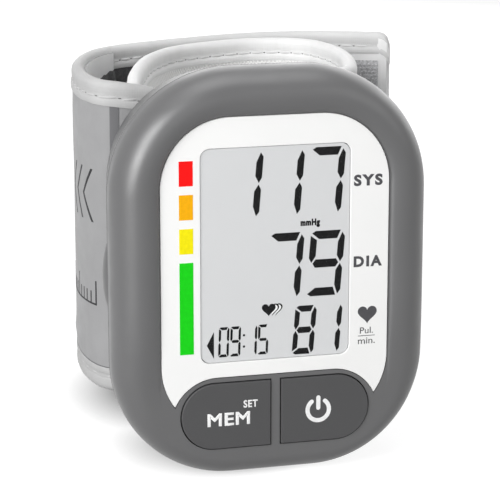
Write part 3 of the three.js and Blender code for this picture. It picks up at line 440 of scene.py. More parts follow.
def flat_shading_first(piece):
    """Smooth shading that lets large flat faces stay flat beside rounded ones."""
    modifier = smooth(piece).modifiers.new("normals", "WEIGHTED_NORMAL")
    modifier.keep_sharp = True
    return piece


def finish(piece, material, body, slot, *replaced):
    piece.data.materials.clear()
    piece.data.materials.append(material)
    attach(piece, body)
    if replaced:
        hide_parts(*replaced)


def tube_faces(count, rings):
    """Both ends, then the sides, of a body whose rings all have the same count of points."""
    last = (rings - 1) * count
    faces = [list(range(count)), list(range(last, last + count))]
    for start in range(0, last, count):
        for i in range(count):
            after = (i + 1) % count
            faces.append([start + i, start + after, start + after + count, start + i + count])
    return faces


def skin(name, rings):
    """A closed body through rings of points."""
    points = [point for ring in rings for point in ring]
    return mesh_object(name, points, tube_faces(len(rings[0]), len(rings)))


def joined(name, parts):
    """One piece from small parts, each with its points and its faces."""
    points = []
    faces = []
    for part_points, part_faces in parts:
        first = len(points)
        points += part_points
        faces += [[first + corner for corner in corners] for corners in part_faces]
    return mesh_object(name, points, faces)


def prism(name, outlines, front, back):
    """Flat plates from outlines of (x, z) points, between two depths."""
    parts = []
    for outline in outlines:
        points = [(x, depth, z) for depth in (front, back) for x, z in outline]
        parts.append((points, tube_faces(len(outline), 2)))
    return joined(name, parts)


def rectangle(left, right, low, high):
    return [(left, low), (right, low), (right, high), (left, high)]


def block(low, high):
    return prism("block", [rectangle(low[0], high[0], low[2], high[2])], low[1], high[1])


def arc(x, z, radius, start, end, steps):
    """Points of an arc; angles in degrees, counted from +x towards +z."""
    angles = [math.radians(start + (end - start) * step / steps) for step in range(steps + 1)]
    return [(x + radius * math.cos(a), z + radius * math.sin(a)) for a in angles]


def rounded_rectangle(half, low, high, radius, steps=CORNER_STEPS):
    right, left = half - radius, radius - half
    return (
        arc(right, high - radius, radius, 0, 90, steps)
        + arc(left, high - radius, radius, 90, 180, steps)
        + arc(left, low + radius, radius, 180, 270, steps)
        + arc(right, low + radius, radius, 270, 360, steps)
    )


def peg(x, z, radius, front, back, steps=32):
    return prism("peg", [arc(x, z, radius, 0, 360 - 360 / steps, steps - 1)], front, back)


def ease(value, low, high):
    """Goes smoothly from 0 to 1 between low and high."""
    share = min(1, max(0, (value - low) / (high - low)))
    return share * share * (3 - 2 * share)


def bell(value, size, place, width):
    """A soft bump of a size, at a place."""
    return size * math.exp(-((value - place) / width) ** 2)


# Materials

def srgb(*values):
    """Linear colour from sRGB values out of 255."""
    shares = [value / 255 for value in values]
    return [s / 12.92 if s <= 0.04045 else ((s + 0.055) / 1.055) ** 2.4 for s in shares]


class Finish:
    """A principled material whose colour, roughness and bump are set from its own nodes."""

    def __init__(self, name, colour, roughness, **sockets):
        self.material = bpy.data.materials.new(name)
        self.material.use_nodes = True
        self.tree = self.material.node_tree
        self.shader = self.tree.nodes["Principled BSDF"]
        self.colour = colour
        self.shader.inputs["Base Color"].default_value = (*colour, 1)
        self.shader.inputs["Roughness"].default_value = roughness
        for name_part, value in sockets.items():
            self.shader.inputs[name_part.replace("_", " ")].default_value = value

    def node(self, kind, **settings):
        made = self.tree.nodes.new(kind)
        for key, value in settings.items():
            if key in made.inputs:
                made.inputs[key].default_value = value
            else:
                setattr(made, key, value)
        return made

    def link(self, source, target):
        self.tree.links.new(source, target)

    def places(self, kind="Object"):
        return self.node("ShaderNodeTexCoord").outputs[kind]

    def noise(self, size, detail=2.0):
        """Noise whose blotches are about this many millimetres wide."""
        made = self.node("ShaderNodeTexNoise", Scale=1 / (size * MM), Detail=detail)
        self.link(self.places(), made.inputs["Vector"])
        return made.outputs["Fac"]

    def along(self):
        """Millimetres along a piece of cloth, from its cloth map."""
        parts = self.node("ShaderNodeSeparateXYZ")
        self.link(self.places("UV"), parts.inputs[0])
        return parts.outputs[0]

    def cells(self, size):
        made = self.node("ShaderNodeTexVoronoi", Scale=1 / (size * MM))
        self.link(self.places(), made.inputs["Vector"])
        return made.outputs["Distance"]

    def math(self, operation, first, second):
        made = self.node("ShaderNodeMath", operation=operation)
        for socket, value in zip(made.inputs, (first, second)):
            if isinstance(value, (int, float)):
                socket.default_value = value
            else:
                self.link(value, socket)
        return made.outputs[0]

    def waves(self, pitch, turn=0):
        """Product of two sine waves across the cloth: a bump or hole every half pitch."""
        uv = self.node("ShaderNodeVectorRotate", rotation_type="Z_AXIS", Angle=math.radians(turn))
        self.link(self.places("UV"), uv.inputs["Vector"])
        parts = self.node("ShaderNodeSeparateXYZ")
        self.link(uv.outputs[0], parts.inputs[0])
        sines = []
        for axis in (0, 1):
            angle = self.math("MULTIPLY", parts.outputs[axis], 2 * math.pi / pitch)
            sines.append(self.math("SINE", angle, 0))
        return self.math("MULTIPLY", *sines)

    def spread(self, value, low, high, to_low, to_high):
        made = self.node("ShaderNodeMapRange")
        self.link(value, made.inputs["Value"])
        for key, number in zip(("From Min", "From Max", "To Min", "To Max"), (low, high, to_low, to_high)):
            made.inputs[key].default_value = number
        return made.outputs["Result"]

    def tint(self, value, low, high, dark, light):
        """Colour that goes from dark to light shares of its own as a value goes from low to high."""
        mix = self.node("ShaderNodeMix", data_type="RGBA")
        self.link(self.spread(value, low, high, 0, 1), mix.inputs["Factor"])
        for key, share in (("A", dark), ("B", light)):
            socket = next(s for s in mix.inputs if s.name == key and s.type == "RGBA")
            socket.default_value = (*[min(1, c * share) for c in self.colour], 1)
        result = next(s for s in mix.outputs if s.type == "RGBA")
        self.link(result, self.shader.inputs["Base Color"])

    def cloud(self, size, dark, light, detail=2.0):
        """Soft blotches of the colour between two shares of it."""
        self.tint(self.noise(size, detail), *NOISE_SPAN, dark, light)

    def gloss(self, size, low, high, detail=2.0):
        """Roughness that wanders between low and high."""
        wandering = self.spread(self.noise(size, detail), *NOISE_SPAN, low, high)
        self.link(wandering, self.shader.inputs["Roughness"])

    def bump(self, value, height, strength=1.0):
        made = self.node("ShaderNodeBump", Distance=height * MM, Strength=strength)
        self.link(value, made.inputs["Height"])
        self.link(made.outputs[0], self.shader.inputs["Normal"])


def moulded(name, colour, roughness, grain=0.35, height=0.006, spread=0.03, **sockets):
    """Moulded plastic: fine grain, faint cloudiness, uneven gloss."""
    made = Finish(name, colour, roughness, **sockets)
    made.cloud(14, 1 - spread, 1 + spread)
    made.gloss(5, roughness - 0.04, roughness + 0.04)
    made.bump(made.noise(grain, 3.0), height)
    return made.material


def printed(name, colour):
    """Screen print: even ink with a faint speckle."""
    made = Finish(name, colour, 0.5, Specular_IOR_Level=0.1)
    made.cloud(0.8, 0.95, 1.05)
    made.gloss(0.5, 0.42, 0.56)
    return made.material


def coated_cloth(name, colour):
    """Smooth coated cloth with a pebbled grain and soft cloudiness."""
    made = Finish(name, colour, 0.55, Specular_IOR_Level=0.35, Sheen_Weight=0.08)
    made.cloud(9, 0.95, 1.04, 3.0)
    made.gloss(3, 0.48, 0.62)
    made.bump(made.cells(0.55), 0.02, 0.5)
    return made.material


def tape_cloth(name, colour, pitch=0.7, root_shade=1.0):
    """Folded tape with a fine slanted weave; its colour is painted darker by a share towards its root, as
    shade.
    """
    made = Finish(name, colour, 0.7, Specular_IOR_Level=0.25, Sheen_Weight=0.15)
    root_shading = made.spread(made.along(), *ROOT_SHADE_REACH, root_shade, 1)
    mottled = made.spread(made.noise(4, 3.0), *NOISE_SPAN, 0.95, 1.04)
    made.tint(made.math("MULTIPLY", root_shading, mottled), 0, 1, 0, 1)
    made.gloss(2, 0.62, 0.78)
    made.bump(made.waves(pitch, 45), 0.015, 0.6)
    return made.material


def mesh_cloth(name, colour, pitch=1.1):
    """Open woven mesh: raised knots with small shaded holes between them."""
    made = Finish(name, colour, 0.85, Specular_IOR_Level=0.15, Sheen_Weight=0.2)
    weave = made.waves(pitch)
    made.tint(weave, -0.55, 0.15, 0.84, 1.0)
    made.gloss(1.5, 0.78, 0.92)
    made.bump(weave, 0.08, 0.8)
    return made.material


def pile_cloth(name, colour):
    """Short brushed pile."""
    made = Finish(name, colour, 0.95, Specular_IOR_Level=0.1, Sheen_Weight=0.4)
    made.tint(made.noise(0.5, 4.0), 0.35, 0.65, 0.7, 1.12)
    made.gloss(1, 0.88, 1.0)
    made.bump(made.noise(0.35, 4.0), 0.12, 0.9)
    return made.material


def metal(name, colour, roughness):
    made = Finish(name, colour, roughness, Metallic=1.0)
    made.cloud(3, 0.92, 1.05)
    made.gloss(0.6, roughness - 0.06, roughness + 0.08, 4.0)
    made.bump(made.noise(0.2, 3.0), 0.003)
    return made.material


def clear_window():
    made = Finish("clear window", srgb(120, 121, 121), 0.06, Alpha=0.012, IOR=1.49)
    made.gloss(6, 0.04, 0.08)
    return made.material


case_grey = moulded("case grey", srgb(78, 78, 79), 0.4, Specular_IOR_Level=0.9)
key_grey = moulded("key grey", srgb(74, 74, 75), 0.5, Specular_IOR_Level=0.35)
panel_white = moulded("panel white", srgb(247, 247, 246), 0.35, grain=0.6, height=0.002, spread=0.006)
# Painted glow: the display is no lamp, but a faint emission lightens it
display_grey = moulded(
    "display grey painted glow", srgb(180, 181, 182), 0.4, grain=0.8, height=0.001, spread=0.01,
    Emission_Color=(*srgb(220, 221, 222), 1), Emission_Strength=0.32,
)
dark_plastic = moulded("dark plastic", srgb(44, 45, 47), 0.5)
dark_rubber = moulded("dark rubber", srgb(54, 55, 58), 0.8, grain=0.5, height=0.01)
board_green = moulded("board green", srgb(31, 107, 58), 0.45, grain=0.5, spread=0.1)
cell_wrap = moulded("cell wrap", srgb(47, 61, 85), 0.35, spread=0.06)
air_tube = moulded("air tube", srgb(217, 220, 218), 0.45)
steel = metal("steel", srgb(186, 189, 193), 0.3)
window_clear = clear_window()
segment_ink = printed("segment ink", srgb(16, 16, 17))
label_ink = printed("label ink", srgb(84, 84, 87))
key_ink = printed("key ink", srgb(248, 248, 248))
mark_ink = printed("mark ink", srgb(48, 48, 50))
cuff_cloth = coated_cloth("cuff cloth", srgb(146, 146, 147))
strap_inside = coated_cloth("strap inside", srgb(242, 242, 242))
# Painted shade: the strap's upper and lower binding tapes are one tape, painted darker towards the root by
# their root_shade shares
cuff_binding = tape_cloth("cuff binding", srgb(212, 212, 212), root_shade=0.68)
# Painted light: the band's binding is the same tape, painted lighter to make up for the shade behind the
# case
band_binding_painted_lighter = tape_cloth("band binding painted lighter", srgb(230, 230, 230))
lower_binding = tape_cloth("lower binding", srgb(212, 212, 212), root_shade=0.64)
cuff_mesh = mesh_cloth("cuff mesh", srgb(249, 249, 248))
cuff_thread = tape_cloth("cuff thread", srgb(214, 214, 214), 0.3)
# Painted shade: the same thread, painted darker on the near half of the strap against the light falling
# there
root_thread_painted_darker = tape_cloth("root thread painted darker", srgb(182, 182, 182), 0.3)
# Painted shade: dark pits stand for the shadow at the ends of each stitch
stitch_pit_shade = pile_cloth("stitch pit shade", srgb(108, 108, 108))
# Partly painted shade: this pile is far darker than the cover's, for the shade in the gap beside the inner
# band
inner_pile_and_shade = pile_cloth("inner pile and painted shade", srgb(78, 78, 79))
cuff_pile = pile_cloth("cuff pile", srgb(150, 150, 151))
# Dark tape of the root stripe, also used as painted shade along the hem's crease
stripe_and_crease_shade = tape_cloth("stripe cloth and crease shade", srgb(106, 106, 108), 0.5)
hook_tape = pile_cloth("hook tape", srgb(208, 208, 210))


# Case

def case_outline(inset, bottom_inset, top_radius, bottom_radius):
    """Points (x, z) round the case, with extra points along its straight sides."""
    half = case_half - inset
    top = case_height - inset - top_radius
    low = bottom_inset + bottom_radius
    corners = [
        arc(half - top_radius, top, top_radius, 0, 90, CORNER_STEPS),
        arc(top_radius - half, top, top_radius, 90, 180, CORNER_STEPS),
        arc(bottom_radius - half, low, bottom_radius, 180, 270, CORNER_STEPS),
        arc(half - bottom_radius, low, bottom_radius, 270, 360, CORNER_STEPS),
    ]
    points = []
    for corner, following in zip(corners, corners[1:] + corners[:1]):
        points += corner
        start, end = Vector(corner[-1]), Vector(following[0])
        points += [tuple(start.lerp(end, step / SIDE_STEPS)) for step in range(1, SIDE_STEPS)]
    return points


def even_outline(inset):
    return case_outline(inset, inset, TOP_CORNER - inset, BOTTOM_CORNER - inset)


def rim_outline(share):
    """From the outer edge of the case, at share 0, to the inner edge of its rim, at 1."""
    top_radius = TOP_CORNER + (RIM_INNER_CORNER - TOP_CORNER) * share
    bottom_radius = BOTTOM_CORNER + (RIM_INNER_CORNER - BOTTOM_CORNER) * share
    return case_outline(RIM_WIDTH * share, CHIN_RIM * share, top_radius, bottom_radius)


def inset_ring(inset, depth):
    """A ring round the case at a depth behind the face."""
    return [(x, face + depth, z) for x, z in even_outline(inset)]


def rim_ring(share, depth, crest_share):
    """A ring of the rim; its crest dies away towards the chin."""
    ring = []
    for x, z in rim_outline(share):
        ring.append((x, face + depth - crest_share * rim_crest * ease(z, *CREST_FADE), z))
    return ring


def front_form():
    """Outside of the front shell: a rounded rim with its crest nearer to the panel."""
    end = front_high.y - face
    rings = [inset_ring(FRONT_DRAFT + EDGE_ROUND, end), inset_ring(FRONT_DRAFT, end - EDGE_ROUND)]
    crest_at = RIM_CREST_INSET / RIM_WIDTH
    for step in range(RIM_STEPS + 1):
        angle = step / RIM_STEPS * math.pi / 2
        share = crest_at * (1 - math.cos(angle))
        rings.append(rim_ring(share, RIM_ROUND_DEPTH * (1 - math.sin(angle)), math.sin(angle)))
    for step in range(1, CREST_STEPS + 1):
        angle = step / CREST_STEPS * math.pi / 2
        share = crest_at + (1 - crest_at) * math.sin(angle)
        rings.append(rim_ring(share, 0, math.cos(angle)))
    return skin("front_shell", rings)


def panel_form(name, grow, front, back):
    """The face panel's field with the chin's pill taken out of its lower end."""
    corner = PANEL_CORNER + grow
    field = rounded_rectangle(panel_high.x + grow, HORN_LEVEL - grow, panel_high.z + grow, corner)
    pill_corner = CHIN_CORNER - grow
    pill = rounded_rectangle(CHIN_HALF - grow, -CHIN_CORNER, CHIN_HEIGHT - grow, pill_corner)
    made = prism(name, [field], front, back)
    return combine(made, "DIFFERENCE", prism("pill", [pill], front - CUT_PAST, back + CUT_PAST))


def window_outline(grow):
    radius = WINDOW_CORNER + min(grow, WINDOW_CORNER_GROWTH)
    low, high = window_bottom - grow, window_top + grow
    return rounded_rectangle(window_half + grow, low, high, radius, WINDOW_STEPS)


def button_outline(side, grow):
    """Square at the middle of the chin, round at its outer end."""
    inner = BUTTON_SPACING / 2 - grow
    radius = BUTTON_HEIGHT / 2 + grow
    centre = BUTTON_SPACING / 2 + BUTTON_WIDTH - BUTTON_HEIGHT / 2
    points = [(inner, BUTTON_LEVEL - radius)]
    points += arc(centre, BUTTON_LEVEL, radius, -90, 90, 2 * CORNER_STEPS)
    points.append((inner, BUTTON_LEVEL + radius))
    return [(side * x, z) for x, z in points]


def front_shell():
    before = face - CUT_PAST
    plate_back = window_high.y + LENS_PLATE
    behind = plate_back + CUT_PAST
    cavity = skin("cavity", [
        inset_ring(CASE_WALL, front_high.y - face + CUT_PAST),
        inset_ring(CASE_WALL, RIM_ROUND_DEPTH),
        inset_ring(2 * CASE_WALL, plate_back - face),
    ])
    seat = panel_form("seat", PANEL_FIT, before, panel_back + SEAT_GAP)
    window = prism("window", [window_outline(LENS_FLANGE + SEAT_GAP)], before, behind)
    holes = [prism("hole", [button_outline(side, BUTTON_GAP)], before, behind) for side in (-1, 1)]
    made = combine(front_form(), "DIFFERENCE", cavity, seat, window, *holes)
    finish(flat_shading_first(made), case_grey, "monitor", "case_grey", "front_case")


def flank_inset(depth):
    """The rear flanks draw in evenly from the parting line."""
    return FRONT_DRAFT + FLANK_SLOPE * (depth - rear_low.y + face)


def rear_form(name):
    """Outside of the rear shell: even flanks and a rounded rear edge."""
    start = rear_low.y - face
    flank_end = rear_high.y - face - REAR_EDGE
    rings = [inset_ring(flank_inset(start) + EDGE_ROUND, start)]
    for step in range(RIM_STEPS + 1):
        depth = start + EDGE_ROUND + (flank_end - start - EDGE_ROUND) * step / RIM_STEPS
        rings.append(inset_ring(flank_inset(depth), depth))
    for step in range(1, RIM_STEPS + 1):
        angle = step / RIM_STEPS * math.pi / 2
        inset = flank_inset(flank_end) + REAR_EDGE * (1 - math.cos(angle))
        rings.append(inset_ring(inset, flank_end + REAR_EDGE * math.sin(angle)))
    return skin(name, rings)


def door_reach(gap):
    """Block through the door's opening, from outside the case to the door's inner side."""
    low = (-case_half - CUT_PAST, door_low.y - gap, door_low.z - gap)
    return block(low, (door_high.x, door_high.y + gap, door_high.z + gap))


def screw_place(index):
    """Middle of a case screw as (x, z), and its two ends."""
    low, high = box_mm(f"case_screw_{index}")
    return (low.x + high.x) / 2, (low.z + high.z) / 2, low.y, high.y


def rear_shell():
    start = rear_low.y - face
    wall = rear_high.y - face
    slope = CASE_WALL + flank_inset(wall - REAR_EDGE)
    cavity = skin("cavity", [
        inset_ring(CASE_WALL, start - CUT_PAST),
        inset_ring(CASE_WALL, start),
        inset_ring(slope, wall - REAR_EDGE),
        inset_ring(slope + CAVITY_TAPER, wall - CASE_WALL),
    ])
    foot = block((-FOOT_WIDTH / 2, -FOOT_LENGTH / 2, 0), (FOOT_WIDTH / 2, FOOT_LENGTH / 2, slope))
    made = combine(rear_form("rear_shell"), "DIFFERENCE", cavity)
    combine(made, "UNION", bevel(foot, FOOT_ROUND))
    holes = []
    for index in SCREWS:
        x, z, _, top = screw_place(index)
        radius = SCREW_HEAD_RADIUS + SCREW_HOLE_GAP
        holes.append(peg(x, z, radius, top - SCREW_HEAD_HEIGHT, rear_high.y + CUT_PAST))
    combine(made, "DIFFERENCE", door_reach(SEAT_GAP), *holes)
    finish(flat_shading_first(made), case_grey, "monitor", "case_grey", "rear_case")


def battery_bay():
    """Walls round the two cells, open to the door."""
    low = Vector((door_high.x, door_low.y - SEAT_GAP, door_low.z - SEAT_GAP))
    high = Vector((cells_right + BAY_FIT, door_high.y + SEAT_GAP, door_high.z + SEAT_GAP))
    outside = block(low - Vector((0, BAY_WALL, BAY_WALL)), high + Vector((BAY_WALL, BAY_BACK, BAY_WALL)))
    inside = block(low - Vector((CUT_PAST, 0, 0)), high)
    made = combine(outside, "DIFFERENCE", inside)
    made.name = "battery_bay"
    finish(smooth(bevel(made, BAY_ROUND)), dark_plastic, "monitor", "dark_plastic")


def battery_door():
    """Follows the flank, with a thumb catch that bulges out of it."""
    made = combine(rear_form("battery_door_skin"), "INTERSECT", door_reach(0))
    middle = (door_low.y + door_high.y) / 2
    bulge_reach = door_high.x - door_low.x
    turns = [math.radians(angle) for angle in range(0, 360, CATCH_TURN)]
    rings = []
    for step in range(1, CATCH_STEPS):
        along = -math.cos(step / CATCH_STEPS * math.pi)
        size = math.sqrt(1 - along * along)
        rings.append([
            (door_high.x - bulge_reach * size * math.cos(turn),
             middle + CATCH_WIDTH / 2 * size * math.sin(turn),
             CATCH_LEVEL + CATCH_HEIGHT / 2 * along)
            for turn in turns
        ])
    catch = combine(skin("catch", rings), "INTERSECT", door_reach(0))
    combine(made, "UNION", catch)
    finish(smooth(made), case_grey, "battery_door", "case_grey", "battery_door")


def case_screw(index):
    """Cross-head screw in the place of a plain one."""
    x, z, tip, top = screw_place(index)
    made = peg(x, z, SCREW_HEAD_RADIUS, top - SCREW_HEAD_HEIGHT, top)
    made.name = f"case_screw_{index}_cross"
    bevel(made, SCREW_HEAD_ROUND)
    combine(made, "UNION", peg(x, z, SCREW_RADIUS, tip, top - SCREW_HEAD_HEIGHT / 2, 20))
    sizes = (CROSS_HALF_LENGTH, CROSS_HALF_WIDTH)
    bars = []
    for half_x, half_z in (sizes, sizes[::-1]):
        outline = rectangle(x - half_x, x + half_x, z - half_z, z + half_z)
        bars.append(prism("bar", [outline], top - CROSS_DEPTH, top + CUT_PAST))
    combine(made, "DIFFERENCE", *bars)
    finish(smooth(made), steel, "monitor", "steel", f"case_screw_{index}")


front_shell()
rear_shell()
battery_bay()
battery_door()
for screw in SCREWS:
    case_screw(screw)


# Face panel with its printing

def face_panel():
    made = panel_form("white_panel", 0, face, panel_back)
    opening = prism("window", [window_outline(WINDOW_GAP)], face - CUT_PAST, panel_back + CUT_PAST)
    combine(made, "DIFFERENCE", opening)
    bevel(made, PANEL_BEVEL)
    finish(flat_shading_first(made), panel_white, "monitor", "panel_white", "face_panel")


def print_on(name, outlines, surface, material, body, slot):
    """A thin print on a surface; its outlines are counted from the middle of the display."""
    raised = [[(x, display_middle + rise) for x, rise in outline] for outline in outlines]
    finish(prism(name, raised, surface - PRINT_THICKNESS, surface), material, body, slot)


def lettering(label, surface, material, body, slot):
    """Plain lettering that fills its place."""
    name, words, (left, right, low, high), bold, spacing = label
    curve = bpy.data.curves.new(name, "FONT")
    curve.body = words
    curve.bevel_depth = bold
    curve.bevel_resolution = 0
    curve.space_character = spacing
    curve.extrude = 0.001
    curve.resolution_u = 4
    made = new_object(name, curve)
    mesh = shown_mesh(made)
    bpy.data.objects.remove(made)
    xs = [vertex.co.x for vertex in mesh.vertices]
    ys = [vertex.co.y for vertex in mesh.vertices]
    first_x, first_y = min(xs), min(ys)
    x_scale = (right - left) / (max(xs) - first_x)
    z_scale = (high - low) / (max(ys) - first_y)
    for vertex, x, y in zip(mesh.vertices, xs, ys):
        depth = surface - (PRINT_THICKNESS if vertex.co.z > 0 else 0)
        rise = low + (y - first_y) * z_scale
        vertex.co = Vector((left + (x - first_x) * x_scale, depth, display_middle + rise)) * MM
    finish(new_object(name, mesh), material, body, slot)


def heart(x, rise, width, turn=2 * math.pi, steps=48):
    """Outline of a heart, or of its right half for half a turn."""
    points = []
    for step in range(steps):
        t = turn * step / steps
        across = math.sin(t) ** 3
        up = (13 * math.cos(t) - 5 * math.cos(2 * t) - 2 * math.cos(3 * t) - math.cos(4 * t)) / 16
        points.append((x + across * width / 2, rise + (up + 0.1) * width / 2))
    return points


def level_bars():
    for name, colour, low, high in LEVEL_BARS:
        ink = printed(f"{name} ink", srgb(*colour))
        print_on(f"level_bar_{name}", [rectangle(*BAR_SIDES, low, high)], face, ink, *ON_PANEL)


def labels():
    for label in LABELS:
        lettering(label, face, label_ink, *ON_PANEL)
    print_on("label_rule", [rectangle(*LABEL_RULE)], face, label_ink, *ON_PANEL)
    print_on("label_heart", [heart(*LABEL_HEART, LABEL_HEART_WIDTH)], face, label_ink, *ON_PANEL)


face_panel()
level_bars()
labels()


# Display

def figure(character, left, low, width, height, thick, slant):
    """Outlines of a slanted figure's lit segments; plain numbers are shares of a segment's thickness."""
    right, high, middle = left + width, low + height, low + height / 2
    slim, gap = SEGMENT_SLIM * thick, SEGMENT_GAP * thick
    segments = {}
    for key, end, way, short in (("b", high, -1, 0.28), ("c", low, 1, 0.12)):
        tip, waist = end + way * short * thick, middle - way * gap
        segments[key] = [
            (right - 0.44 * slim, tip), (right, tip + way * 0.65 * slim),
            (right, waist - way * 0.75 * slim), (right - 0.42 * slim, waist),
            (right - slim, waist - way * slim), (right - slim, tip + way * 1.45 * slim),
        ]
    for key, end, way in (("f", high, -1), ("e", low, 1)):
        waist = middle - way * gap
        segments[key] = [
            (left, end + way * 0.55 * thick), (left, waist - way * 0.75 * slim),
            (left + 0.42 * slim, waist), (left + slim, waist - way * slim),
            (left + slim, end + way * 1.12 * thick),
        ]
    bar_left, bar_right = left + 0.15 * thick, right - 0.58 * thick
    for key, end, way in (("a", high, -1), ("d", low, 1)):
        segments[key] = [
            (bar_left, end + way * 0.28 * thick), (bar_left + 0.44 * thick, end), (bar_right, end),
            (bar_right - 0.38 * thick, end + way * thick), (bar_left + 0.92 * thick, end + way * thick),
        ]
    bar_left, bar_right = left + slim / 2 + gap, right - slim / 2 - 1.5 * gap
    half, point = 0.5 * thick, 0.325 * thick
    segments["g"] = [
        (bar_left, middle), (bar_left + point, middle + half), (bar_right - point, middle + half),
        (bar_right, middle), (bar_right - point, middle - half), (bar_left + point, middle - half),
    ]
    lean = math.tan(math.radians(slant))
    return [[(x + (z - low) * lean, z) for x, z in segments[key]] for key in LIT[character]]


def display_print(name, outlines):
    print_on(name, outlines, pane_front, segment_ink, *ON_DISPLAY)


def display_pane():
    """Display and window as bonded layers: the pane lies just behind a thin clear lens."""
    pane = prism("display_pane", [window_outline(PANE_MARGIN)], pane_front, lcd_back)
    finish(bevel(pane, PANEL_BEVEL), display_grey, "monitor", "display_grey", "lcd_glass")
    lens = prism("display_lens", [window_outline(0)], face, face + LENS_THICKNESS)
    finish(bevel(lens, PANEL_BEVEL), window_clear, "monitor", "clear_window", "display_window")


def pulse_heart(index):
    """A full heart in front, and behind it the right halves of two pale outlined ones."""
    x, rise = PULSE_PLACE
    x += PULSE_STEP * index
    turn = math.pi if index > 0 else 2 * math.pi
    surface = pane_front + PULSE_LAYER * index
    whole = heart(x, rise, PULSE_WIDTH, turn)
    print_on(f"pulse_heart_{index + 1}", [whole], surface, segment_ink, *ON_DISPLAY)
    if index > 0:
        pale = heart(x, rise, PULSE_PALE_SHARE * PULSE_WIDTH, turn)
        print_on(f"pulse_wave_{index}", [pale], surface - PULSE_LAYER / 2, key_ink, *ON_DISPLAY)


def display():
    for name, characters, lefts, *sizes in READINGS:
        outlines = []
        for character, left in zip(characters, lefts):
            outlines += figure(character, left, *sizes)
        display_print(name, outlines)
    dots = [rectangle(*CLOCK_DOT_SIDES, rise, rise + CLOCK_DOT_HEIGHT) for rise in CLOCK_DOT_RISES]
    display_print("clock_dots", dots)
    display_print("clock_pointer", [CLOCK_POINTER])
    for index in range(3):
        pulse_heart(index)
    lettering(UNIT_LABEL, pane_front, segment_ink, *ON_DISPLAY)


display_pane()
display()


# Buttons

def button(name, side):
    node = f"{name}_button"
    low, high = box_mm(node)
    flange_front = high.y - BUTTON_FLANGE_THICKNESS
    cap_back = high.y - BUTTON_FLANGE_THICKNESS / 2
    cap = bevel(prism(f"{name}_key", [button_outline(side, 0)], low.y, cap_back), BUTTON_ROUND, 4)
    flange = prism("flange", [button_outline(side, BUTTON_FLANGE)], flange_front, high.y)
    combine(cap, "UNION", flange)
    finish(flat_shading_first(cap), key_grey, node, "key_grey", node)


def power_symbol():
    """Broken ring with round ends, and a bar in its gap."""
    x, rise = POWER_PLACE
    start, end = 90 + POWER_OPENING, 450 - POWER_OPENING
    middle, half = (POWER_OUTER + POWER_INNER) / 2, (POWER_OUTER - POWER_INNER) / 2

    def round_end(angle, first):
        turn = math.radians(angle)
        return arc(x + middle * math.cos(turn), rise + middle * math.sin(turn), half, first, first + 180, 8)

    ring = arc(x, rise, POWER_OUTER, start, end, 40) + round_end(end, 90 - POWER_OPENING)
    ring += arc(x, rise, POWER_INNER, end, start, 40) + round_end(start, 270 + POWER_OPENING)
    low, high = POWER_BAR_ENDS
    bar = arc(x, rise + high, POWER_BAR_HALF, 0, 180, 10) + arc(x, rise + low, POWER_BAR_HALF, 180, 360, 10)
    surface = box_mm("power_button")[0].y
    print_on("power_symbol", [ring, bar], surface, key_ink, "power_button", "key_grey")


def key_lettering():
    surface = box_mm("memory_button")[0].y
    for label in KEY_LABELS:
        lettering(label, surface, key_ink, "memory_button", "key_grey")


button("memory", -1)
button("power", 1)
power_symbol()
key_lettering()


# Pieces of the frame that keep their shape and get a finish

CARRIED = [
    (cell_wrap, ["battery_1", "battery_2"]),
    (dark_plastic, [
        "lcd_holder", "controller_chip", "buzzer", "memory_switch_base", "power_switch_base", "pump_head",
        "air_manifold", "pressure_sensor", "cuff_curler",
    ]),
    (dark_rubber, ["display_connector", "pump_sleeve"]),
    (board_green, ["main_board"]),
    (air_tube, ["pump_tube", "valve_tube"]),
    (steel, [
        "battery_link", "battery_contact_positive", "battery_contact_negative", "memory_switch_plunger",
        "power_switch_plunger", "pump_motor", "pump_rotor", "valve_body", "valve_plunger",
        "board_screw_1", "board_screw_2", "cuff_screw_1", "cuff_screw_2",
    ]),
]
for material, node_names in CARRIED:
    for node_name in node_names:
        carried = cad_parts[node_name].data
        carried.materials.clear()
        carried.materials.append(material)


# Lines that the cuff follows

Sample = namedtuple("Sample", "place inward along mark")


def spline(stops, mark):
    """Place on the smooth line through the stops, at a mark counted in stops."""
    index = min(int(mark), len(stops) - 2)
    share = mark - index
    second, third = stops[index], stops[index + 1]
    first = stops[index - 1] if index > 0 else 2 * stops[0] - stops[1]
    fourth = stops[index + 2] if index + 2 < len(stops) else 2 * stops[-1] - stops[-2]
    a, b, c = [math.sqrt((q - p).length) for p, q in ((first, second), (second, third), (third, fourth))]
    out = ((second - first) / a - (third - first) / (a + b) + (third - second) / b) * b
    into = ((third - second) / b - (fourth - second) / (b + c) + (fourth - third) / c) * b
    square = 3 * (third - second) - 2 * out - into
    cube = 2 * (second - third) + out + into
    return second + out * share + square * share ** 2 + cube * share ** 3


def line_samples(route, front):
    """Evenly spaced places along a route, each with the direction towards the wrist."""
    stops = [Vector((x, front + behind)) for x, behind in route]
    marks = [step / SPLINE_STEPS for step in range((len(stops) - 1) * SPLINE_STEPS + 1)]
    places = [spline(stops, mark) for mark in marks]
    lengths = [0]
    for before, after in zip(places, places[1:]):
        lengths.append(lengths[-1] + (after - before).length)
    count = round(lengths[-1] / LINE_STEP)
    samples = []
    for step in range(count + 1):
        along = lengths[-1] * step / count
        index = min(max(bisect(lengths, along) - 1, 0), len(marks) - 2)
        share = (along - lengths[index]) / (lengths[index + 1] - lengths[index])
        place = places[index].lerp(places[index + 1], share)
        way = (places[min(index + 2, len(places) - 1)] - places[max(index - 1, 0)]).normalized()
        mark = marks[index] + share / SPLINE_STEPS
        samples.append(Sample(place, Vector((way.y, -way.x)), along, mark))
    return samples


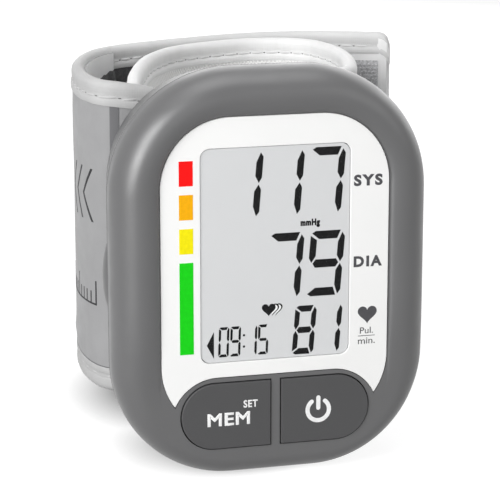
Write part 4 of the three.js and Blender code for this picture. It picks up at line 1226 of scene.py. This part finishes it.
def sample_at(samples, along):
    """The place at a distance along a line."""
    index = min(max(bisect([s.along for s in samples], along) - 1, 0), len(samples) - 2)
    before, after = samples[index], samples[index + 1]
    share = (along - before.along) / (after.along - before.along)
    return Sample(
        before.place.lerp(after.place, share), before.inward.lerp(after.inward, share).normalized(),
        along, before.mark + (after.mark - before.mark) * share,
    )


def cut_line(samples, start, end):
    """The stretch of a line between two distances along it."""
    inside = [s for s in samples if start + 0.05 < s.along < end - 0.05]
    return [sample_at(samples, start), *inside, sample_at(samples, end)]


def out_of(sample, offset, height):
    return (*(sample.place + sample.inward * offset), height)


band_line = line_samples(BAND_ROUTE, BAND_FRONT)
strap_line = line_samples(STRAP_ROUTE, STRAP_INSIDE)
band_length = band_line[-1].along
strap_length = strap_line[-1].along


# Cloth

def wave(along, size, length, seed):
    """Slow unevenness of a size along a line."""
    return size * noise.noise(Vector((along / length, seed, 0.3)))


def wrinkle(sample, share, seed):
    """Unevenness between -1 and 1 over a sheet of cloth."""
    return noise.noise(Vector((sample.along / WRINKLE_LENGTH, share * WRINKLE_ROWS, seed)))


def sweep(name, samples, section, *materials):
    """A closed body: a section of (offset, height) points carried along a line, with a cloth map.

    A second material covers the second half of the section, which is the inner face of a sheet.
    """
    rings = [[out_of(sample, *point) for point in section(sample)] for sample in samples]
    made = skin(name, rings)
    count = len(rings[0])
    layer = made.data.uv_layers.new(name="cloth")
    for loop in made.data.loops:
        sample = samples[loop.vertex_index // count]
        layer.data[loop.index].uv = (sample.along, made.data.vertices[loop.vertex_index].co.z / MM)
    for material in materials:
        made.data.materials.append(material)
    if len(materials) > 1:
        for number in range((len(samples) - 1) * count):
            made.data.polygons[number + 2].material_index = int(number % count >= count // 2)
    return smooth(made, CLOTH_SHARP_ANGLE)


def field_edges(edges, sample):
    """Lower and upper edge of a cloth layer, tucked into the bindings."""
    low, high = edges(sample)
    return low + CLOTH_TUCK + TUCK_GAP, high - CLOTH_TUCK - TUCK_GAP


class Cloth:
    """Sizes of a bound strip: its two faces and edges at the bindings, and how it is stitched."""

    def __init__(self, outer, inner, pitch, edges, notched):
        self.outer = outer
        self.inner = inner
        self.pitch = pitch
        self.edges = edges
        self.notched = notched
        self.half = (inner - outer) / 2

    def proud(self, upper):
        return HEM_PROUD - (0 if upper else LOWER_TUCK)

    def fold(self, along, upper):
        """Half of a binding from its hem to the middle of its fold: (distance from edge, proud)."""
        seed = UPPER_SEED if upper else LOWER_SEED
        proud = self.proud(upper)
        hem = HEM + wave(along, *HEM_WANDER, seed)
        stitched = 0.5 + 0.5 * math.cos(2 * math.pi * along / self.pitch)
        groove = proud - GROOVE - PUCKER * stitched
        bulge = ROLL_PROUD + wave(along, *ROLL_WANDER, seed + 1) - ROLL_PUCKER * stitched
        if self.notched:
            bulge -= bell(along, *NOTCH)
        points = [
            (hem, 0.02), (hem - 0.06, 0.8 * proud), (hem - 0.3, proud),
            (STITCH_LINE + STITCH_HALF, proud + 0.04), (STITCH_LINE + STITCH_HALF / 2, proud - 0.08),
            (STITCH_LINE, groove),
            (STITCH_LINE - STITCH_HALF / 2, bulge - 0.16), (STITCH_LINE - STITCH_HALF, bulge - 0.03),
        ]
        for step in range(ROLL_STEPS + 1):
            angle = step / ROLL_STEPS * math.pi / 2
            sunk = (self.half + bulge) * (1 - math.cos(angle))
            points.append((ROLL * (1 - math.sin(angle)), bulge - sunk))
        return points

    def binding(self, upper):
        """Section of the tape folded over one edge."""
        def section(sample):
            low, high = self.edges(sample)
            edge, way = (high, -1) if upper else (low, 1)
            half = self.fold(sample.along, upper)
            outside = [(self.outer - p, edge + way * d) for d, p in half]
            inside = [(self.inner + p, edge + way * d) for d, p in half[-2::-1]]
            back = [(self.inner, edge + way * CLOTH_TUCK), (self.outer, edge + way * CLOTH_TUCK)]
            return outside + inside + back
        return section

    def sheet(self, outer, inner, crown):
        """Section of a cloth layer between two offsets; crown(sample, share) moves its two faces out."""
        def section(sample):
            low, high = field_edges(self.edges, sample)
            steps = [step / FIELD_STEPS for step in range(FIELD_STEPS + 1)]
            heights = [low + (high - low) * t for t in steps]
            moved = [crown(sample, t) for t in steps]
            front = [(outer - m[0], z) for m, z in zip(moved, heights)]
            back = [(inner + m[1], z) for m, z in zip(moved, heights)]
            return front + back[::-1]
        return section


def band_edges(sample):
    """The band's free end dips behind the strap, and its other end is rounded off behind the case."""
    dip = BAND_DIP * max(0, 1 - sample.along / BAND_DIP_LENGTH) ** 2
    into = max(0, BAND_END_CORNER - (band_length - sample.along))
    drawn_in = BAND_END_CORNER - math.sqrt(BAND_END_CORNER ** 2 - into ** 2)
    return cuff_low + drawn_in, cuff_high - dip - drawn_in


def strap_edges(sample):
    """The strap's edges climb from its root, and are drawn in for the tail's round corners."""
    climb = min(sample.mark, STRAP_PEEL_STOP) / STRAP_PEEL_STOP
    rise = STRAP_ROOT_RISE + (STRAP_TAIL_RISE - STRAP_ROOT_RISE) * climb
    rise -= STRAP_ROOT_DROP * max(0, 1 - sample.mark / STRAP_SWING_STOP) ** 2
    into = max(0, TAIL_CORNER - (strap_length - sample.along))
    drawn_in = TAIL_CORNER - math.sqrt(max(0, TAIL_CORNER ** 2 - into ** 2))
    return cuff_low + rise + drawn_in, cuff_high + rise - drawn_in


band = Cloth(BAND_EDGE_INSET, BAND_THICKNESS - BAND_EDGE_INSET, BAND_PITCH, band_edges, False)
strap = Cloth(-STRAP_THICKNESS, 0, STRAP_PITCH, strap_edges, True)


def both_sides(share, low, high):
    """0 near both edges of a strip and 1 in its middle."""
    return ease(share, low, high) * ease(1 - share, low, high)


def between_hems(share):
    """1 in the open field and 0 under the hems."""
    hem = HEM / cuff_height
    return both_sides(share, hem, hem + HEM_FADE)


def swell(share):
    """0 under the hems and 1 in the middle of the cuff, where its layers are thickest."""
    return both_sides(share, SWELL_START * HEM / cuff_height, SWELL_REACH)


def lining_crown(sample, share):
    inner = swell(share) * (BAND_EDGE_INSET + LINING_SWELL + LINING_WRINKLE * wrinkle(sample, share, 2))
    return (inner - LAYER_SWELL, inner)


def cover_crown(sample, share):
    outer = swell(share) * (BAND_EDGE_INSET + COVER_WRINKLE * wrinkle(sample, share, 5))
    return (outer, outer - LAYER_SWELL)


def strap_crown(sample, share):
    """How far the strap's outer and inner face stand out: crown, wrinkles, tail hem and inner layer."""
    field = between_hems(share)
    outer = field * (FIELD_CROWN + STRAP_WRINKLE * wrinkle(sample, share, 9)) + bell(share, *LOW_BULGE)
    inner = field * STRAP_WRINKLE * (1 + wrinkle(sample, share, 11))
    inner += INNER_LAYER * (1 - ease(sample.along, INNER_SEAM - SEAM_HALF, INNER_SEAM + SEAM_HALF))
    from_tip = strap_length - sample.along
    hem = 1 - ease(from_tip, *[TAIL_HEM + step for step in TAIL_HEM_STEP])
    tip = STRAP_THICKNESS / 2 * (1 - math.sqrt(1 - max(0, 1 - from_tip / TAIL_ROUND) ** 2))
    stand = hem * (HEM_PROUD - bell(from_tip, *TAIL_GROOVE)) - tip
    return (outer + stand, inner + stand)


# Cuff band

def cuff_band():
    cover_section = band.sheet(band.outer, band.outer + COVER_THICKNESS, cover_crown)
    lining_section = band.sheet(band.inner - LINING_THICKNESS, band.inner, lining_crown)
    cover = sweep("cuff_cover_cloth", band_line, cover_section, cuff_pile)
    lining = sweep("cuff_lining_cloth", band_line, lining_section, cuff_mesh)
    upper = sweep("cuff_upper_tape", band_line, band.binding(True), band_binding_painted_lighter)
    lower = sweep("cuff_lower_tape", band_line, band.binding(False), band_binding_painted_lighter)
    pieces = [
        (cover, "cuff_cover", "cuff_cloth"), (lining, "cuff_lining", "cuff_mesh"),
        (upper, "cuff_binding_upper", "cuff_binding"), (lower, "cuff_binding_lower", "cuff_binding"),
    ]
    for piece, node, slot in pieces:
        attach(piece, "monitor")
        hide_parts(node)
    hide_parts("cuff_bladder")


# Strap, in a near and a far half, each baked in place

def bend(piece):
    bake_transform(piece)


def bend_near(piece):
    bend(piece)


def bend_far(piece):
    bend(piece)


HALVES = [
    ("near", cut_line(strap_line, 0, STRAP_CUT), bend_near, ("strap_root", "strap_side")),
    ("far", cut_line(strap_line, STRAP_CUT, strap_length), bend_far, ("strap_tail",)),
]


def strap_halves():
    field = strap.sheet(strap.outer, strap.inner, strap_crown)
    for half, line, bending, replaced in HALVES:
        body = sweep(f"strap_{half}_cloth", line, field, cuff_cloth, strap_inside)
        upper = sweep(f"strap_{half}_upper_tape", line, strap.binding(True), cuff_binding)
        lower = sweep(f"strap_{half}_lower_tape", line, strap.binding(False), lower_binding)
        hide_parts(*replaced)
        for piece, slot in ((body, "cuff_cloth"), (upper, "cuff_binding"), (lower, "cuff_binding")):
            bending(piece)


# Stitching

def stroke(line, along, height, offset, way, length, radius, rise):
    """A small rounded stroke laid along the cloth, highest in its middle; points and faces."""
    steps, sides = 6, 8
    points = []
    for step in range(steps + 1):
        share = step / steps
        sample = sample_at(line, along + (share - 0.5) * length)
        arch = math.sin(share * math.pi) ** 0.5
        size = radius * (0.35 + 0.65 * arch)
        middle = offset + way * rise * (arch - 0.6)
        for side in range(sides):
            angle = 2 * math.pi * side / sides
            out = middle + 0.6 * size * math.cos(angle)
            points.append(out_of(sample, out, height + size * math.sin(angle)))
    return points, tube_faces(sides, steps + 1)


def stitching(name, cloth, line, start, end, pits, thread=cuff_thread):
    """Threads, or the dark pits between them that paint the shade at the stitch holes, of a strip between
    two places: both edges, both faces.
    """
    length = PIT_LENGTH if pits else cloth.pitch - THREAD_OPEN * PIT_LENGTH
    radius = PIT_RADIUS if pits else THREAD_RADIUS
    rise = 0 if pits else THREAD_RISE
    sunk = GROOVE + (PUCKER - PIT_LIFT if pits else 0)
    parts = []
    for number in range(math.ceil(start / cloth.pitch), int(end / cloth.pitch)):
        along = (number + (0 if pits else 0.5)) * cloth.pitch
        low, high = cloth.edges(sample_at(line, along))
        for upper, height in ((True, high - STITCH_LINE), (False, low + STITCH_LINE)):
            for surface, way in ((cloth.outer, -1), (cloth.inner, 1)):
                offset = surface + way * (cloth.proud(upper) - sunk)
                parts.append(stroke(line, along, height, offset, way, length, radius, rise))
    made = smooth(joined(name, parts), THREAD_SHARP_ANGLE)
    made.data.materials.append(stitch_pit_shade if pits else thread)
    return made


def all_stitching():
    for kind, pits in (("threads", False), ("pits", True)):
        band_end, strap_end = band_length - STITCH_END, strap_length - STITCH_END
        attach(stitching(f"band_{kind}", band, band_line, STITCH_END, band_end, pits), "monitor")
        near = (ROOT_STITCH_START, STRAP_CUT)
        bend_near(stitching(f"strap_near_{kind}", strap, strap_line, *near, pits, root_thread_painted_darker))
        bend_far(stitching(f"strap_far_{kind}", strap, strap_line, STRAP_CUT, strap_end, pits))


# Marks on the strap's outer face

def patch(corners, lift, steps=6):
    """A thin patch on the strap's outer face; corners are (along, height), as a quad; points and faces."""
    a, b, c, d = [Vector(corner) for corner in corners]
    points = []
    for layer in (0, lift):
        for row in range(steps + 1):
            for place in (a.lerp(b, row / steps), d.lerp(c, row / steps)):
                sample = sample_at(strap_line, place.x)
                low, high = field_edges(strap_edges, sample)
                crown = strap_crown(sample, (place.y - low) / (high - low))[0]
                points.append(out_of(sample, strap.outer - crown - layer, place.y))
    size = 2 * (steps + 1)
    faces = [[0, 1, size + 1, size], [size - 2, size - 1, 2 * size - 1, 2 * size - 2]]
    for i in range(0, 2 * steps, 2):
        faces += [[i, i + 1, i + 3, i + 2], [size + i, size + i + 1, size + i + 3, size + i + 2]]
        faces += [[i, i + 2, size + i + 2, size + i], [i + 1, i + 3, size + i + 3, size + i + 1]]
    return points, faces


def patches(name, quads, material, lift):
    made = joined(name, [patch(corners, lift) for corners in quads])
    made.data.materials.append(material)
    bend_near(made)


def fit_scale():
    """A plain scale of ticks for how far the cuff is wrapped."""
    quads = []
    base = SCALE_HEIGHT + SCALE_LINE
    count = int((SCALE_END - SCALE_START) / SCALE_STEP)
    for index in range(count + 1):
        along = SCALE_START + index * SCALE_STEP
        side = along + SCALE_LINE
        after = along + SCALE_STEP if index < count else side
        high = base + (SCALE_TICK if index % SCALE_LONG_EVERY else SCALE_LONG_TICK)
        quads.append([(along, SCALE_HEIGHT), (after, SCALE_HEIGHT), (after, base), (along, base)])
        quads.append([(along, base), (along, high), (side, high), (side, base)])
    patches("fit_scale", quads, mark_ink, MARK_LIFT)


def wrap_arrows():
    """Three plain chevrons that show which way the strap is wrapped."""
    quads = []
    for start in ARROW_STARTS:
        tip = start + ARROW_REACH
        for end in (ARROW_LEVEL + ARROW_RISE, ARROW_LEVEL - ARROW_RISE):
            quads.append([
                (start, end), (tip, ARROW_LEVEL),
                (tip + ARROW_WIDTH, ARROW_LEVEL), (start + ARROW_WIDTH, end),
            ])
    patches("wrap_arrows", quads, mark_ink, MARK_LIFT)


def painted_hem_shade():
    """Painted shade: a dark strip along the crease where the strap's cloth meets the lower binding."""
    quads = []
    for along in range(HEM_LINE_START, STRAP_CUT):
        after = along + 1
        low, further = [strap_edges(sample_at(strap_line, place))[0] + HEM for place in (along, after)]
        quads.append([(along, low), (after, further), (after, further + HEM_LINE), (along, low + HEM_LINE)])
    patches("painted_hem_shade", quads, stripe_and_crease_shade, HEM_LINE_LIFT)


def root_stripe():
    """Darker tape sewn down the strap where it leaves the case."""
    start, end = STRIPE_PLACE
    low, high = cuff_low + HEM - STRIPE_ENDS[0], cuff_high - HEM - STRIPE_ENDS[1]
    levels = [low + (high - low) * row / STRIPE_ROWS for row in range(STRIPE_ROWS + 1)]
    quads = [rectangle(start, end, bottom, top) for bottom, top in zip(levels, levels[1:])]
    patches("root_stripe", quads, stripe_and_crease_shade, STRIPE_LIFT)


# Pile on the strap's inner face

def inner_pile():
    """Brushed pile on the strap's inner face, in the gap beside the inner band; its dark colour is partly
    the pile's own and partly painted shade for the gap.
    """
    def section(sample):
        low, high = strap_edges(sample)
        start, end = PILE_DROP
        drop = start + (end - start) * ease(sample.along, PILE_DROP_START, INNER_SEAM)
        bottom, top = low + HEM + PILE_FOOT, high - drop + wave(sample.along, *PILE_EDGE_WANDER, 21)
        front = []
        for step in range(FIELD_STEPS + 1):
            height = bottom + (top - bottom) * step / FIELD_STEPS
            inner = strap_crown(sample, (height - low) / (high - low))[1]
            tuft = noise.noise(Vector((sample.along / TUFT_SIZE, height / TUFT_SIZE, 3)))
            raised = PILE_DEPTH * (1 + TUFT_SHARE * tuft) if 0 < step < FIELD_STEPS else 0
            front.append((inner + raised, height))
        back = [(-PILE_SUNK, height) for offset, height in reversed(front)]
        return front + back
    made = sweep("strap_inner_pile", cut_line(strap_line, *PILE_PLACE), section, inner_pile_and_shade)
    bend_far(made)


# Hook tape on the tail's inner face

def hook_post(line, along, height):
    """A small post that leans over at its tip; points and faces."""
    first, last = line[0].along, line[-1].along
    points = []
    for reach, lean, size in HOOK_LEVELS:
        middle = min(along + lean, last)
        for x, z in rectangle(-size, size, -size, size):
            sample = sample_at(line, min(max(middle + x, first), last))
            points.append(out_of(sample, reach, height + z))
    return points, tube_faces(4, len(HOOK_LEVELS))


def hook_piece():
    """A backing with rows of small bent posts."""
    first = min(strap_line, key=lambda s: (s.place - Vector((hook_low.x, hook_high.y))).length).along
    last = strap_length - TAIL_HEM
    line = cut_line(strap_line, first, last)
    bottom, top = hook_low.z, hook_high.z
    near, far = HOOK_BACKING
    backing = [(near, bottom), (far, bottom), (far, top), (near, top)]
    made = sweep("hook_backing", line, lambda sample: backing, hook_tape)
    parts = []
    for row in range(int((top - bottom) / HOOK_PITCH)):
        for column in range(int((last - first) / HOOK_PITCH)):
            along = first + (column + 0.5 + HOOK_SHIFT * (row % 2)) * HOOK_PITCH
            parts.append(hook_post(line, along, bottom + (row + 0.5) * HOOK_PITCH))
    posts = joined("hook_posts", parts)
    posts.data.materials.append(hook_tape)
    for piece in (made, posts):
        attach(piece, "strap_tail")
    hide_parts("hook_patch")


cuff_band()
strap_halves()
all_stitching()
fit_scale()
wrap_arrows()
root_stripe()
painted_hem_shade()
inner_pile()
hook_piece()


# Floor, light and camera

def background_rays(tree):
    """1 for the rays that show the background: from the camera, off gloss and through glass."""
    rays = tree.nodes.new("ShaderNodeLightPath")
    seen = rays.outputs["Is Camera Ray"]
    for kind in ("Is Glossy Ray", "Is Transmission Ray"):
        either = tree.nodes.new("ShaderNodeMath")
        either.operation = "MAXIMUM"
        tree.links.new(seen, either.inputs[0])
        tree.links.new(rays.outputs[kind], either.inputs[1])
        seen = either.outputs[0]
    return seen


def clear_of(paint, middle, squeeze, reach):
    """0 inside a painted shadow on the floor and 1 well away from it."""
    pressed = paint.node("ShaderNodeVectorMath", operation="MULTIPLY")
    paint.link(paint.places(), pressed.inputs[0])
    pressed.inputs[1].default_value = (1, squeeze, 1)
    away = paint.node("ShaderNodeVectorMath", operation="DISTANCE")
    paint.link(pressed.outputs["Vector"], away.inputs[0])
    away.inputs[1].default_value = Vector((middle[0], middle[1] * squeeze, 0)) * MM
    return paint.spread(away.outputs["Value"], reach[0] * MM, reach[1] * MM, 0, 1)


def pale_floor():
    """White wherever the background shows, apart from painted shadows under the cuff and the case, where
    its glow fades out.
    """
    corners = rectangle(-FLOOR_REACH, FLOOR_REACH, -FLOOR_REACH, FLOOR_REACH)
    made = mesh_object("floor", [(x, y, 0) for x, y in corners], [[0, 1, 2, 3]])
    paint = Finish("pale floor", srgb(150, 150, 150), 0.9, Specular_IOR_Level=0.1)
    paint.cloud(200, 0.99, 1.0)
    paint.shader.inputs["Emission Color"].default_value = (1, 1, 1, 1)
    # Painted shadow: the floor's glow fades out in patches under the cuff and the case
    clear = paint.math("MINIMUM", clear_of(paint, *CUFF_PAINTED_SHADOW), clear_of(paint, *CASE_PAINTED_SHADOW))
    glow = paint.spread(paint.math("POWER", clear, SHADE_POWER), 0, 1, *FLOOR_GLOW)
    seen = background_rays(paint.tree)
    paint.link(paint.math("MULTIPLY", seen, glow), paint.shader.inputs["Emission Strength"])
    made.data.materials.append(paint.material)


def studio_world():
    """Even light, and plain white where the view looks past the floor."""
    world = bpy.data.worlds.new("studio")
    bpy.context.scene.world = world
    world.use_nodes = True
    tree = world.node_tree
    background = tree.nodes["Background"]
    background.inputs["Color"].default_value = (1, 1, 1, 1)
    mix = tree.nodes.new("ShaderNodeMapRange")
    mix.inputs["To Min"].default_value = WORLD_LIGHT
    mix.inputs["To Max"].default_value = 1
    tree.links.new(background_rays(tree), mix.inputs["Value"])
    tree.links.new(mix.outputs["Result"], background.inputs["Strength"])


def soft_lamp(name, place, width, height, power):
    lamp = bpy.data.lights.new(name, "AREA")
    lamp.shape = "RECTANGLE"
    lamp.size = width * MM
    lamp.size_y = height * MM
    lamp.energy = power
    made = new_object(name, lamp)
    made.location = Vector(place) * MM
    made.rotation_euler = (Vector(LIT_POINT) - Vector(place)).to_track_quat("-Z", "Y").to_euler()


def camera():
    turn, rise = math.radians(CAMERA_TURN), math.radians(CAMERA_RISE)
    back = Vector((math.sin(turn) * math.cos(rise), -math.cos(turn) * math.cos(rise), math.sin(rise)))
    lens = bpy.data.cameras.new("camera")
    lens.lens = CAMERA_LENS
    lens.clip_start = CAMERA_NEAR * MM
    made = new_object("camera", lens)
    made.location = (Vector(CAMERA_TARGET) + back * CAMERA_DISTANCE) * MM
    made.rotation_euler = (-back).to_track_quat("-Z", "Y").to_euler()
    bpy.context.scene.camera = made


pale_floor()
studio_world()
for settings in LAMPS:
    soft_lamp(*settings)
camera()
bpy.context.scene.view_settings.view_transform = "Standard"
